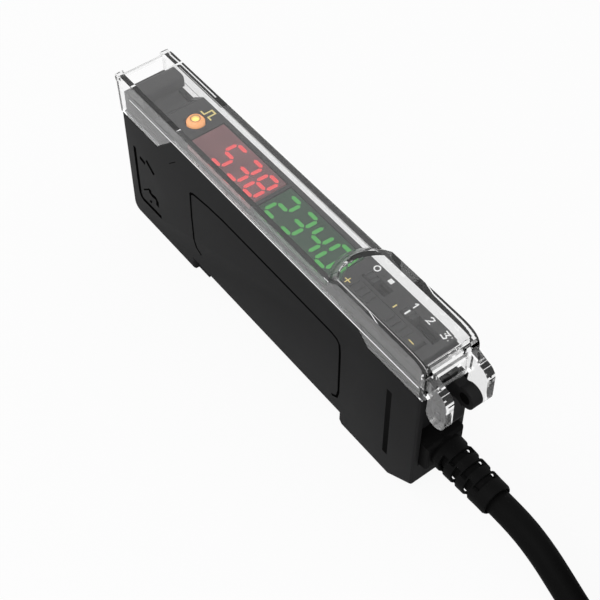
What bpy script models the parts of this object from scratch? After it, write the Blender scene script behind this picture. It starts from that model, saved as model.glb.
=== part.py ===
"""Fibre optic sensor amplifier: a slim rail-mounted housing with a hinged clear cover.

Sizes are in millimetres in a working frame: X runs from the fibre end face towards the cable,
Y from the middle of the thickness, with the marked side at -Y, and Z up from the feet.
to_metres() turns them into the part's own frame, centred along the length.
"""

from math import atan2, cos, pi, radians, sin, sqrt

import bmesh
import bpy
from mathutils import Matrix, Vector

MM = 0.001

# Driving sizes of the housing
CASE_LENGTH = 80.0
WIDTH = 10.5
LEDGE = 29.5
FIBRE_END_STEP = 24.6
CABLE_END_STEP = 27.1
GAP = 0.3
WALL = 1.2
SKIRT = 1.1
NECK_WALL = 1.1
CEILING_Z = 2.75

HALF = WIDTH / 2
INNER_HALF = HALF - WALL
NECK_HALF = HALF - SKIRT - GAP
NECK_INNER = NECK_HALF - NECK_WALL
CASE_TOP = LEDGE - GAP
PANEL_INNER = HALF - WALL
TUB_BACK = PANEL_INNER - GAP

# Rail recess along the underside
LEFT_FOOT_END = 19.9
RIGHT_FOOT_START = 61.9
RAIL_SEAT = 35.6
SEAT_START = 24.7
LIP_HEIGHT = 1.2
LIP_REACH = 1.3
HOOK_HALF = 2.6

# Skirt slopes of the cover along the case side
FIBRE_SLOPE = (11.2, 16.2)
CABLE_SLOPE = (68.1, 65.4)

# Cable end of the case
END_RECESS_DEPTH = 1.9
END_RECESS_Z = (14.2, 26.8)
CHAMFER_START_X = 74.7
CHAMFER_TOP_Z = 3.45
NECK_END_X = 79.0

# Hinge of the cover
HINGE_X = 82.9
HINGE_Z = 25.3
EAR_RADIUS = 1.95
EAR_INNER = 1.0
EAR_OUTER = 2.9
EAR_HOLE = 1.05
STUB_RADIUS = EAR_HOLE - GAP
ARM_INNER = EAR_OUTER + GAP
ARM_THICK = 1.55
ARM_RADIUS = 2.0

# Clear cover
COVER_LEFT = -0.45
COVER_END = 80.5
COVER_TOP = 33.3
COVER_SKIN = 0.9
RAISED_TOP = 34.7
RAISED_LOW_APEX = 55.6
RAISED_LOW_RADIUS = 6.45
RAISED_HIGH_APEX = 57.5
RAISED_HIGH_RADIUS = 6.0
CREST_END = 75.5
NUB_RADIUS = 1.2
NUB_X = 0.4
NUB_Z = 31.95
END_WINDOW_Z = (28.4, 30.9)
END_WINDOW_HALF = 2.85

# Deck
DECK_START = 12.8
DECK_TOP = 31.5
DECK_PLATE = 1.1
CHEEK_START = 10.0
DIP_Z = 29.1
WINDOW_THICK = 0.8
RED_WINDOW = (20.2, 37.4)
GREEN_WINDOW = (38.7, 57.0)
WINDOW_BACK_Y = 2.75
DISPLAY_Y = (-2.7, 2.2)
DISPLAY_INSET = 0.6
LED_X = 16.75
LED_Y = -0.55
LENS_RADIUS = 1.6
LENS_TOP_RADIUS = 1.1
LENS_HEIGHT = 0.6
DIMPLE_RADIUS = 0.7
CLIP_X = (18.0, 55.9)
CLIP_WIDTH = 1.4

# Set rocker and the two slide switches
ROCKER_X = (58.0, 75.0)
ROCKER_Y = (-3.2, -0.7)
ROCKER_RISE = 0.7
ROCKER_AXIS_Z = 29.75
ROCKER_AXLE = 0.6
SWITCH_Y = 1.15
KNOB_WIDTH = 1.3
KNOB_LENGTH = 2.4
KNOB_RISE = 0.5
OUTPUT_KNOB_X = 61.0
OUTPUT_TRAVEL = 2.4
MODE_KNOB_X = 69.9
MODE_TRAVEL = 4.3

# Boards
DISPLAY_BOARD_Z = 24.9
DISPLAY_BOARD_THICK = 1.0
MAIN_BOARD_Y = 1.75
MAIN_BOARD_THICK = 0.8
MAIN_BOARD_X = (13.6, 74.6)
MAIN_BOARD_Z = (5.0, 23.4)
CAVITY_FLOOR = CEILING_Z + WALL
LOW_CAVITY_TOP = 23.6
RIB_X = (22.0, 64.5)
RIB_THICK = 1.2

# Fibre clamp
BORE_RADIUS = 1.15
EMITTER_Z = 21.2
RECEIVER_Z = 13.2
PORT_RADIUS = 2.3
BLOCK_X = (2.0, 13.2)
BLOCK_HALF = 1.45
BLOCK_TOP = 25.5
JAW_X = (8.2, 9.4)
LEVER_X = 5.0
LEVER_Z = 17.2
PIN_RADIUS = 0.7
CHEEK_OUTER = 2.45
RIDGE_TOP = 32.1

# Gland, boot and cable
CABLE_RADIUS = 2.2
CABLE_Z = 11.1
GLAND_START = 75.6
GLAND_END = 81.6
GLAND_Z = (8.3, 13.9)
BOOT_END = 93.3
BOOT_BORE = CABLE_RADIUS + GAP
BOOT_ROOT_WALL = 0.65
BOOT_TIP_WALL = 0.35
SLOT_ROWS = 3
SLOT_PITCH = 2.7
SLOT_WIDTH = 1.1
TURN_PITCH = 4.6
HANK_X = 156.0
HANK_STRAIGHT = 45.0
HANK_INNER_BEND = 13.2
HANK_OUTER_BEND = HANK_INNER_BEND + TURN_PITCH
HANK_LAYERS = 6
HANK_Y = HANK_OUTER_BEND
LEAD_RADIUS = 0.6

CENTRE_X = (NUB_X - NUB_RADIUS + BOOT_END) / 2


def to_metres(point):
    """Turns a working point in millimetres into the part's own frame in metres."""
    x, y, z = point
    return Vector((x - CENTRE_X, y, z)) * MM


# Shape helpers

def new_object(name, vertices, faces):
    """Makes an object from points in millimetres and outward faces."""
    mesh = bpy.data.meshes.new(name)
    mesh.from_pydata([to_metres(v) for v in vertices], [], faces)
    shape = bmesh.new()
    shape.from_mesh(mesh)
    bmesh.ops.recalc_face_normals(shape, faces=shape.faces)
    shape.to_mesh(mesh)
    shape.free()
    made = bpy.data.objects.new(name, mesh)
    bpy.context.collection.objects.link(made)
    return made


def loft(name, lower, upper):
    """Closes the skin between two outlines that have the same number of points."""
    count = len(lower)
    sides = [(i, (i + 1) % count, count + (i + 1) % count, count + i) for i in range(count)]
    caps = [tuple(reversed(range(count))), tuple(range(count, 2 * count))]
    return new_object(name, list(lower) + list(upper), sides + caps)


def side_prism(name, outline, y_low, y_high):
    """Extrudes an outline of (x, z) points across the thickness."""
    near = [(x, y_low, z) for x, z in outline]
    far = [(x, y_high, z) for x, z in outline]
    return loft(name, near, far)


def plan_prism(name, outline, z_low, z_high):
    """Extrudes an outline of (x, y) points upwards."""
    lower = [(x, y, z_low) for x, y in outline]
    upper = [(x, y, z_high) for x, y in outline]
    return loft(name, lower, upper)


def box(name, x_span, y_span, z_span):
    """Makes a block from its spans along X, Y and Z."""
    corners = [(x_span[0], z_span[0]), (x_span[1], z_span[0]),
               (x_span[1], z_span[1]), (x_span[0], z_span[1])]
    return side_prism(name, corners, y_span[0], y_span[1])


def turned(name, axis, centre, profile, sides=24):
    """Turns a profile of (position along the axis, radius) points round an axis, ends capped."""
    along = {"X": Vector((1, 0, 0)), "Y": Vector((0, 1, 0)), "Z": Vector((0, 0, 1))}[axis]
    first = {"X": Vector((0, 1, 0)), "Y": Vector((0, 0, 1)), "Z": Vector((1, 0, 0))}[axis]
    second = along.cross(first)
    vertices = []
    for position, radius in profile:
        middle = Vector(centre) + along * position
        for i in range(sides):
            angle = 2 * pi * i / sides
            vertices.append(middle + (first * cos(angle) + second * sin(angle)) * radius)
    faces = []
    for ring in range(len(profile) - 1):
        start = ring * sides
        for i in range(sides):
            after = (i + 1) % sides
            faces.append((start + i, start + after, start + sides + after, start + sides + i))
    faces.append(tuple(range(sides)))
    faces.append(tuple(range((len(profile) - 1) * sides, len(profile) * sides)))
    return new_object(name, vertices, faces)


def rod(name, axis, centre, radius, start, end, sides=24):
    """Makes a plain cylinder along an axis."""
    return turned(name, axis, centre, [(start, radius), (end, radius)], sides)


def combine(target, tool, operation):
    """Applies a Boolean of one object on another and removes the tool."""
    modifier = target.modifiers.new(operation.title(), "BOOLEAN")
    modifier.operation = operation
    modifier.object = tool
    graph = bpy.context.evaluated_depsgraph_get()
    mesh = bpy.data.meshes.new_from_object(target.evaluated_get(graph))
    target.modifiers.clear()
    mesh.name = target.name
    target.data = mesh
    bpy.data.objects.remove(tool)


def add(target, *tools):
    """Joins tools to a target."""
    for tool in tools:
        combine(target, tool, "UNION")


def cut(target, *tools):
    """Cuts tools out of a target."""
    for tool in tools:
        combine(target, tool, "DIFFERENCE")


def arc(centre, radius, start, end, steps):
    """Lists (x, z) points along an arc, angles in degrees."""
    points = []
    for i in range(steps + 1):
        angle = radians(start + (end - start) * i / steps)
        points.append((centre[0] + radius * cos(angle), centre[1] + radius * sin(angle)))
    return points


def soften(target, width, segments, wanted):
    """Bevels the edges whose end points, in working millimetres, pass a test."""
    def working(vertex):
        return vertex.co.x / MM + CENTRE_X, vertex.co.y / MM, vertex.co.z / MM

    shape = bmesh.new()
    shape.from_mesh(target.data)
    chosen = [e for e in shape.edges if wanted(working(e.verts[0]), working(e.verts[1]))]
    bmesh.ops.bevel(shape, geom=chosen, offset=width * MM, segments=segments,
                    profile=0.5, affect="EDGES", clamp_overlap=True)
    shape.to_mesh(target.data)
    shape.free()


def smooth(target, angle=35):
    """Shades curved stretches smooth and keeps real edges sharp."""
    target.data.shade_smooth()
    target.data.set_sharp_from_angle(angle=radians(angle))


def set_origin(target, point):
    """Moves an object's origin to a working point without moving its shape."""
    origin = to_metres(point)
    target.data.transform(Matrix.Translation(-origin))
    target.location = origin


def finish(target, look):
    """Gives an object its material."""
    target.data.materials.clear()
    target.data.materials.append(look)
    return target


def principled(name, colour, roughness, metallic=0.0, alpha=1.0):
    """Makes a Principled material."""
    look = bpy.data.materials.new(name)
    look.use_nodes = True
    shader = look.node_tree.nodes["Principled BSDF"]
    shader.inputs["Base Color"].default_value = (*colour, 1.0)
    shader.inputs["Roughness"].default_value = roughness
    shader.inputs["Metallic"].default_value = metallic
    shader.inputs["Alpha"].default_value = alpha
    return look


def smooth_route(points, spacing):
    """Reads evenly spaced points from a smooth curve through the given ones."""
    ends = [2 * Vector(points[0]) - Vector(points[1])]
    knots = ends + [Vector(p) for p in points] + [2 * Vector(points[-1]) - Vector(points[-2])]
    route = [knots[1]]
    for i in range(1, len(knots) - 2):
        before, start, end, after = knots[i - 1:i + 3]
        steps = max(1, round((end - start).length / spacing))
        for k in range(1, steps + 1):
            t = k / steps
            route.append(0.5 * (2 * start + (end - before) * t
                                + (2 * before - 5 * start + 4 * end - after) * t ** 2
                                + (3 * start - before - 3 * end + after) * t ** 3))
    return route


def tube(name, points, radius, resolution):
    """Runs a capped round tube along a smooth route."""
    route = smooth_route(points, 5 * radius)
    curve = bpy.data.curves.new(name, "CURVE")
    curve.dimensions = "3D"
    curve.bevel_depth = radius * MM
    curve.bevel_resolution = resolution
    curve.use_fill_caps = True
    line = curve.splines.new("POLY")
    line.points.add(len(route) - 1)
    for spot, point in zip(line.points, route):
        spot.co = (*to_metres(point), 1.0)
    made = bpy.data.objects.new(name, curve)
    bpy.context.collection.objects.link(made)
    return made


# Housing

def case_outline():
    """Side outline of the flat body: feet, rail recess, end chamfer and the step under the skirts."""
    corner = 1.75
    side_step = 0.9
    points = arc((corner, corner), corner, 180, 270, 4)
    points += [(LEFT_FOOT_END, 0), (LEFT_FOOT_END, CEILING_Z), (RIGHT_FOOT_START, CEILING_Z)]
    points += [(RIGHT_FOOT_START, side_step), (RIGHT_FOOT_START + 0.7, 0), (CHAMFER_START_X, 0)]
    points += [(CASE_LENGTH, CHAMFER_TOP_Z), (CASE_LENGTH, CABLE_END_STEP - GAP)]
    points += [(CABLE_SLOPE[0], CABLE_END_STEP - GAP), (CABLE_SLOPE[1], CASE_TOP)]
    points += [(FIBRE_SLOPE[1], CASE_TOP), (FIBRE_SLOPE[0], FIBRE_END_STEP - GAP)]
    points += [(0, FIBRE_END_STEP - GAP)]
    return points


def rail_hooks(target):
    """Adds the fixed hook and the hook of the flexible tongue, moulded in one with the case."""
    seat_end = SEAT_START + RAIL_SEAT
    root = 1.0
    bite = CEILING_Z + 0.4
    lip_z = (0.0, LIP_HEIGHT)
    hook_y = (-HOOK_HALF, HOOK_HALF)
    left = LEFT_FOOT_END - root
    right = RIGHT_FOOT_START + root
    wide_lip = box("wide_lip", (left, LEFT_FOOT_END + 3.2), (1 - HALF, TUB_BACK - 1), lip_z)
    left_hook = side_prism("left_hook", [
        (left, 0.0), (SEAT_START + LIP_REACH, 0.0), (SEAT_START + LIP_REACH, LIP_HEIGHT),
        (SEAT_START, LIP_HEIGHT), (SEAT_START, bite), (left, bite)], *hook_y)
    right_hook = side_prism("right_hook", [
        (right, 0.0), (right, bite), (seat_end, bite), (seat_end, LIP_HEIGHT),
        (seat_end - LIP_REACH, LIP_HEIGHT), (seat_end - LIP_REACH, 0.5),
        (seat_end - LIP_REACH + 0.5, 0.0)], *hook_y)
    add(target, wide_lip, left_hook, right_hook)


def hinge_ears(target):
    """Adds the two black ears that carry the cover."""
    neck_top = CABLE_END_STEP - GAP - 0.05
    root_x = CASE_LENGTH - END_RECESS_DEPTH - WALL / 2
    for low, high in ((-EAR_OUTER, -EAR_INNER), (EAR_INNER, EAR_OUTER)):
        neck = box("neck", (root_x, HINGE_X), (low, high), (HINGE_Z - EAR_RADIUS, neck_top))
        tip = rod("tip", "Y", (HINGE_X, 0, HINGE_Z), EAR_RADIUS, low, high)
        add(neck, tip)
        hole = rod("hole", "Y", (HINGE_X, 0, HINGE_Z), EAR_HOLE, low - 1, high + 1, 20)
        cut(neck, hole)
        add(target, neck)


def case_shell(look):
    """The moulded tub: marked side wall, feet, hooks, both ends, hinge ears and board ribs."""
    shell = side_prism("case_shell", case_outline(), -HALF, TUB_BACK)
    soft_top = LOW_CAVITY_TOP
    edge = -HALF + 0.01

    def on_marked_side(first, second):
        low = first[2] < soft_top or second[2] < soft_top
        return first[1] < edge and second[1] < edge and (low or first[0] > CASE_LENGTH - 0.1)

    soften(shell, 0.45, 3, on_marked_side)
    neck_start = 0.6
    neck = box("neck", (neck_start, NECK_END_X), (-NECK_HALF, TUB_BACK), (20.0, CASE_TOP))
    add(shell, neck)

    end_wall = CASE_LENGTH - END_RECESS_DEPTH
    low_cavity = box("low_cavity", (WALL, end_wall - WALL), (-INNER_HALF, HALF),
                     (CAVITY_FLOOR, LOW_CAVITY_TOP))
    middle = (FIBRE_SLOPE[1] + 1.0, CABLE_SLOPE[1] - 1.0)
    high_cavity = box("high_cavity", middle, (-INNER_HALF, HALF), (LOW_CAVITY_TOP - 1, CASE_TOP + 5))
    end_cavity = box("end_cavity", (neck_start + NECK_WALL, end_wall - WALL),
                     (-NECK_INNER, NECK_INNER), (LOW_CAVITY_TOP - 1, CASE_TOP + 5))
    recess = box("recess", (end_wall, CASE_LENGTH + 1), (-INNER_HALF, HALF),
                 (GLAND_Z[0] - GAP, END_RECESS_Z[1]))
    gland_slot = box("gland_slot", (end_wall - 2 * WALL, CASE_LENGTH + 1), (-INNER_HALF, HALF),
                     (GLAND_Z[0] - GAP, GLAND_Z[1] + GAP))
    cut(shell, low_cavity, high_cavity, end_cavity, recess, gland_slot)

    for height in (EMITTER_Z, RECEIVER_Z):
        port = rod("port", "X", (0, 0, height), PORT_RADIUS, -1, WALL + 1)
        cut(shell, port)

    rib_y = (-INNER_HALF - 0.5, MAIN_BOARD_Y - GAP)
    for rib_x in RIB_X:
        rib = box("rib", (rib_x, rib_x + RIB_THICK), rib_y,
                  (CAVITY_FLOOR - 0.5, MAIN_BOARD_Z[1] - 2))
        add(shell, rib)
    boss = box("boss", (LEVER_X - 1.5, LEVER_X + 1.5), (-INNER_HALF - 0.5, -CHEEK_OUTER - 2 * GAP),
               (LEVER_Z - 1.5, LEVER_Z + 1.5))
    add(shell, boss)
    rail_hooks(shell)
    hinge_ears(shell)
    smooth(shell)
    return finish(shell, look)


def side_panel(look):
    """The flat back wall that closes the tub."""
    panel = side_prism("side_panel", case_outline(), PANEL_INNER, HALF)
    edge = HALF - 0.01
    soft_top = LOW_CAVITY_TOP

    def on_back(first, second):
        low = first[2] < soft_top or second[2] < soft_top
        return first[1] > edge and second[1] > edge and (low or first[0] > CASE_LENGTH - 0.1)

    soften(panel, 0.45, 3, on_back)
    board_back = MAIN_BOARD_Y + MAIN_BOARD_THICK + GAP
    for rib_x in RIB_X:
        rib = box("rib", (rib_x, rib_x + RIB_THICK), (board_back, PANEL_INNER + 0.5),
                  (CAVITY_FLOOR + 1, MAIN_BOARD_Z[1] - 2))
        add(panel, rib)
    boss = box("boss", (LEVER_X - 1.5, LEVER_X + 1.5), (CHEEK_OUTER + 2 * GAP, PANEL_INNER + 0.5),
               (LEVER_Z - 1.5, LEVER_Z + 1.5))
    add(panel, boss)
    smooth(panel)
    return finish(panel, look)


# Clear cover

def rear_curve(height, steps):
    """Side outline of the raised end as it rolls over to the end wall, a squared quarter round."""
    power = 2 / 3
    low = DECK_TOP
    points = []
    for i in range(steps + 1):
        angle = pi / 2 * (1 - i / steps)
        x = CREST_END + (COVER_END - CREST_END) * max(cos(angle), 0.0) ** power
        points.append((x, low + (height - low) * sin(angle) ** power))
    return points


def raised_outline(apex, radius, half, rear):
    """Plan outline of the raised end: an arc across the cover, then straight sides."""
    centre = apex + radius
    reach = sqrt(radius ** 2 - half ** 2)
    spread = atan2(half, reach)
    steps = 12
    points = []
    for i in range(steps + 1):
        angle = pi + spread - 2 * spread * i / steps
        points.append((centre + radius * cos(angle), radius * sin(angle)))
    points.append((rear, half))
    points.append((rear, -half))
    return points


def raised_block(name, skin, base, half, rear):
    """The raised end: a ramp between two plan arcs, shrunk by a skin thickness."""
    low = raised_outline(RAISED_LOW_APEX + skin, RAISED_LOW_RADIUS, half, rear)
    high = raised_outline(RAISED_HIGH_APEX + skin, RAISED_HIGH_RADIUS, half, rear)
    z_low = COVER_TOP - skin
    z_high = RAISED_TOP - skin
    block = loft(name, [(x, y, z_low) for x, y in low], [(x, y, z_high) for x, y in high])
    root = plan_prism("root", low, base, z_low + 0.001)
    add(block, root)
    return block


def clear_cover(look):
    """The hinged transparent cover: thin shell, raised end, end wall with a window, two arms."""
    end_bottom = CABLE_END_STEP
    front_radius = 2.0
    outline = [(COVER_LEFT + 0.35, FIBRE_END_STEP), (COVER_LEFT, COVER_TOP - front_radius)]
    outline += arc((COVER_LEFT + front_radius, COVER_TOP - front_radius), front_radius, 180, 90, 5)[1:]
    outline += [(RAISED_HIGH_APEX + 6, COVER_TOP), (COVER_END - 1.0, COVER_TOP)]
    outline += [(COVER_END, COVER_TOP - 2.0), (COVER_END, end_bottom)]
    outline += [(CABLE_SLOPE[0], end_bottom), (CABLE_SLOPE[1], LEDGE)]
    outline += [(FIBRE_SLOPE[1], LEDGE), (FIBRE_SLOPE[0], FIBRE_END_STEP)]
    cover = side_prism("clear_cover", outline, -HALF, HALF)

    raised = raised_block("raised", 0.0, DECK_TOP, HALF, COVER_END + 2)
    roll = [(RAISED_LOW_APEX - 5, DECK_TOP), (RAISED_LOW_APEX - 5, RAISED_TOP)]
    roll += rear_curve(RAISED_TOP, 8)
    roll_mask = side_prism("roll", roll, -HALF - 1, HALF + 1)
    combine(raised, roll_mask, "INTERSECT")
    add(cover, raised)
    for side in (-1, 1):
        ends = sorted((side * (HALF - 1.3), side * HALF))
        nub = rod("nub", "Y", (NUB_X, 0, NUB_Z), NUB_RADIUS, ends[0], ends[1])
        add(cover, nub)

    inner = HALF - SKIRT
    top = COVER_TOP - COVER_SKIN
    strip_back = COVER_LEFT + COVER_SKIN
    strip_z = DECK_TOP
    end_inner = COVER_END - WALL
    hollow_outline = [(COVER_LEFT - 4, 20), (COVER_LEFT - 4, strip_z), (strip_back, strip_z),
                      (strip_back, top), (end_inner, top), (end_inner, 20)]
    hollow = side_prism("hollow", hollow_outline, -inner, inner)
    raised_hollow = raised_block("raised_hollow", COVER_SKIN, top - 0.5, inner, end_inner)
    cut(cover, hollow, raised_hollow)
    window = box("window", (end_inner - 1, COVER_END + 1), (-END_WINDOW_HALF, END_WINDOW_HALF),
                 END_WINDOW_Z)
    cut(cover, window)

    arm_outline = [(COVER_END - 0.4, 32.3), (COVER_END + 0.3, 32.3), (82.75, 31.5), (83.55, 31.3),
                   (84.1, 30.9), (84.6, 30.3), (84.8, 29.55)]
    arm_outline += arc((HINGE_X, HINGE_Z), ARM_RADIUS, 0, -180, 12)
    arm_outline += [(81.0, CABLE_END_STEP + 0.7), (COVER_END - 0.4, CABLE_END_STEP + 1.2)]
    for side in (-1, 1):
        span = sorted((side * ARM_INNER, side * (ARM_INNER + ARM_THICK)))
        arm = side_prism("arm", arm_outline, *span)
        stub_span = sorted((side * (EAR_INNER + GAP), side * (ARM_INNER + 0.5)))
        stub = rod("stub", "Y", (HINGE_X, 0, HINGE_Z), STUB_RADIUS, stub_span[0], stub_span[1], 20)
        add(arm, stub)
        add(cover, arm)
    smooth(cover, 30)
    set_origin(cover, (HINGE_X, 0, HINGE_Z))
    return finish(cover, look)


# Deck with its windows

def top_deck(look):
    """The dark bezel: a plate with a hollow underside, windows, lens hole and switch slots."""
    deck = box("top_deck", (DECK_START, NECK_END_X), (-NECK_HALF, NECK_HALF), (LEDGE, DECK_TOP))
    inset = 0.9
    under = box("under", (DECK_START + inset, NECK_END_X - inset),
                (-NECK_HALF + inset, NECK_HALF - inset), (LEDGE - 1, DECK_TOP - DECK_PLATE))
    cut(deck, under)
    seat_floor = DECK_TOP - WINDOW_THICK - GAP
    for start, end in (RED_WINDOW, GREEN_WINDOW):
        seat = box("seat", (start - GAP, end + GAP), (-HALF, WINDOW_BACK_Y + GAP),
                   (seat_floor, DECK_TOP + 1))
        cut(deck, seat)
        opening = box("opening", (start + DISPLAY_INSET - GAP, end - DISPLAY_INSET + GAP),
                      (DISPLAY_Y[0] - GAP, DISPLAY_Y[1] + GAP), (LEDGE - 1, DECK_TOP))
        cut(deck, opening)
    lens_hole = rod("lens_hole", "Z", (LED_X, LED_Y, 0), LENS_RADIUS + GAP, LEDGE - 1, DECK_TOP + 1)
    cut(deck, lens_hole)
    rocker_slot = box("rocker_slot", (ROCKER_X[0] - GAP, ROCKER_X[1] + GAP),
                      (ROCKER_Y[0] - GAP, ROCKER_Y[1] + GAP), (LEDGE - 1, DECK_TOP + 1))
    cut(deck, rocker_slot)
    for middle, travel in ((OUTPUT_KNOB_X, OUTPUT_TRAVEL), (MODE_KNOB_X, MODE_TRAVEL)):
        reach = KNOB_LENGTH / 2 + GAP
        slot = box("slot", (middle - reach, middle + travel + reach),
                   (SWITCH_Y - KNOB_WIDTH / 2 - GAP, SWITCH_Y + KNOB_WIDTH / 2 + GAP),
                   (LEDGE - 1, DECK_TOP + 1))
        cut(deck, slot)
    ramp = [(CHEEK_START, CASE_TOP + GAP), (DECK_START + 0.5, CASE_TOP + GAP),
            (DECK_START + 0.5, DECK_TOP), (DECK_START, DECK_TOP)]
    for side in (-1, 1):
        cheek_span = sorted((side * (CHEEK_OUTER + GAP), side * NECK_HALF))
        cheek = side_prism("cheek", ramp, *cheek_span)
        add(deck, cheek)
    for clip_x in CLIP_X:
        for side in (-1, 1):
            span = sorted((side * (NECK_HALF - 0.1), side * (NECK_HALF - 0.8)))
            clip = box("clip", (clip_x, clip_x + CLIP_WIDTH), span, (LEDGE - 3.0, LEDGE + 0.4))
            add(deck, clip)
    smooth(deck)
    return finish(deck, look)


def window_plate(name, span, look):
    """A tinted plate let into the deck over one display."""
    thick = DECK_TOP - WINDOW_THICK
    plate = box(name, span, (-NECK_HALF, WINDOW_BACK_Y), (thick, DECK_TOP))
    return finish(plate, look)


def display_module(name, span, look):
    """The four-digit module under one window."""
    floor = DISPLAY_BOARD_Z + DISPLAY_BOARD_THICK + GAP
    top = DECK_TOP - WINDOW_THICK - GAP
    module = box(name, (span[0] + DISPLAY_INSET, span[1] - DISPLAY_INSET), DISPLAY_Y, (floor, top))
    return finish(module, look)


def output_lens(look):
    """The round indicator lens: a raised cone with a dimple, on a light pipe."""
    bottom = DISPLAY_BOARD_Z + DISPLAY_BOARD_THICK + 1.5
    top = DECK_TOP + LENS_HEIGHT
    lens = turned("output_lens", "Z", (LED_X, LED_Y, 0), [
        (bottom, LENS_RADIUS), (DECK_TOP, LENS_RADIUS), (top - 0.15, LENS_TOP_RADIUS + 0.2),
        (top, LENS_TOP_RADIUS)])
    dimple = turned("dimple", "Z", (LED_X, LED_Y, 0), [
        (top - 0.4, DIMPLE_RADIUS * 0.6), (top + 0.2, DIMPLE_RADIUS * 1.2)])
    cut(lens, dimple)
    smooth(lens)
    return finish(lens, look)


def indicator_led(look):
    """The small lamp on the display board under the lens."""
    floor = DISPLAY_BOARD_Z + DISPLAY_BOARD_THICK + GAP
    half = 1.0
    lamp = box("indicator_led", (LED_X - half, LED_X + half), (LED_Y - half, LED_Y + half),
               (floor, floor + 0.9))
    return finish(lamp, look)


# Switches

def slide_knob(name, middle, look):
    """A small slide knob: ridged cap above the deck and a stem into the switch body."""
    stem_bottom = LEDGE - 1.1
    cap = box(name, (middle - KNOB_LENGTH / 2, middle + KNOB_LENGTH / 2),
              (SWITCH_Y - KNOB_WIDTH / 2, SWITCH_Y + KNOB_WIDTH / 2),
              (LEDGE, DECK_TOP + KNOB_RISE))
    groove = 0.4
    for offset in (-0.55, 0.55):
        notch = box("notch", (middle + offset - groove / 2, middle + offset + groove / 2),
                    (SWITCH_Y - KNOB_WIDTH, SWITCH_Y + KNOB_WIDTH),
                    (DECK_TOP + KNOB_RISE - 0.25, DECK_TOP + KNOB_RISE + 1))
        cut(cap, notch)
    stem = box("stem", (middle - 0.6, middle + 0.6), (SWITCH_Y - 0.4, SWITCH_Y + 0.4),
               (stem_bottom, LEDGE + 0.5))
    add(cap, stem)
    set_origin(cap, (middle, SWITCH_Y, DECK_TOP))
    return finish(cap, look)


def switch_body(name, middle, travel, look):
    """The body of a slide switch, with the channel that its knob's stem runs in."""
    floor = DISPLAY_BOARD_Z + DISPLAY_BOARD_THICK + GAP
    top = LEDGE - GAP
    margin = 0.8
    reach = 0.6 + GAP
    body = box(name, (middle - reach - margin, middle + travel + reach + margin),
               (SWITCH_Y - 1.2, SWITCH_Y + 1.2), (floor, top))
    channel = box("channel", (middle - reach, middle + travel + reach),
                  (SWITCH_Y - 0.4 - GAP, SWITCH_Y + 0.4 + GAP), (LEDGE - 1.1 - GAP, top + 1))
    cut(body, channel)
    return finish(body, look)


def set_rocker(look):
    """The long plus and minus key: a ridged bar that rocks on the carrier's axle."""
    middle = sum(ROCKER_X) / 2
    bottom = ROCKER_AXIS_Z
    top = DECK_TOP + ROCKER_RISE
    sag = 0.25
    end_lift = 0.4
    flat = 4.0
    steps = 12
    outline = [(ROCKER_X[0], bottom + end_lift), (middle - flat, bottom), (middle + flat, bottom),
               (ROCKER_X[1], bottom + end_lift)]
    for i in range(steps + 1):
        t = 1 - 2 * i / steps
        x = middle + t * (ROCKER_X[1] - ROCKER_X[0]) / 2
        outline.append((x, top - sag * (1 - t ** 2)))
    rocker = side_prism("set_rocker", outline, *ROCKER_Y)
    for side in (-1, 1):
        for i in range(4):
            x = middle + side * (2.2 + 1.3 * i)
            ridge = box("ridge", (x - 0.25, x + 0.25), (ROCKER_Y[0] + 0.3, ROCKER_Y[1] - 0.3),
                        (top - 0.6, top + 0.15))
            add(rocker, ridge)
    seat = rod("seat", "Y", (middle, 0, ROCKER_AXIS_Z), ROCKER_AXLE + GAP,
               ROCKER_Y[0] - 1, ROCKER_Y[1] + 1)
    cut(rocker, seat)
    smooth(rocker)
    set_origin(rocker, (middle, sum(ROCKER_Y) / 2, ROCKER_AXIS_Z))
    return finish(rocker, look)


def rocker_carrier(look):
    """The sprung carrier under the rocker, with the round axle that the rocker tilts on."""
    middle = sum(ROCKER_X) / 2
    inner_y = (ROCKER_Y[0] + 0.5, ROCKER_Y[1] - 0.2)
    bar_top = ROCKER_AXIS_Z - 1.2
    bar = box("rocker_carrier", (middle - 3.4, middle + 3.4), inner_y, (bar_top - 0.8, bar_top))
    post_y = (inner_y[0] + 0.2, inner_y[1] - 0.2)
    post = box("post", (middle - 0.45, middle + 0.45), post_y, (bar_top - 0.4, ROCKER_AXIS_Z))
    axle = rod("axle", "Y", (middle, 0, ROCKER_AXIS_Z), ROCKER_AXLE, inner_y[0], inner_y[1])
    add(bar, post, axle)
    smooth(bar)
    set_origin(bar, (middle, sum(ROCKER_Y) / 2, ROCKER_AXIS_Z))
    return finish(bar, look)


def key_switch(name, middle, stem_top, look):
    """A small push switch on the display board, with its round stem."""
    floor = DISPLAY_BOARD_Z + DISPLAY_BOARD_THICK + GAP
    half_y = 0.75
    y = -NECK_INNER + GAP + half_y
    body = box(name, (middle - 1.4, middle + 1.4), (y - half_y, y + half_y), (floor, floor + 0.8))
    stem = rod("stem", "Z", (middle, y, 0), 0.55, floor + 0.4, stem_top, 16)
    add(body, stem)
    return finish(body, look)


# Inner parts

def display_board(look):
    """The board under the deck: wide between the case walls, narrow inside both necks."""
    wide = INNER_HALF - GAP
    narrow = NECK_INNER - GAP
    wide_x = (FIBRE_SLOPE[1] + 1.0 + GAP, CABLE_SLOPE[1] - 1.0 - GAP)
    start = LED_X - 2.2
    end = CASE_LENGTH - END_RECESS_DEPTH - WALL - GAP
    half = [(start, narrow), (wide_x[0], narrow), (wide_x[0], wide), (wide_x[1], wide),
            (wide_x[1], narrow), (end, narrow)]
    outline = [(x, -y) for x, y in half] + list(reversed(half))
    board = plan_prism("display_board", outline, DISPLAY_BOARD_Z,
                       DISPLAY_BOARD_Z + DISPLAY_BOARD_THICK)
    return finish(board, look)


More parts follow.
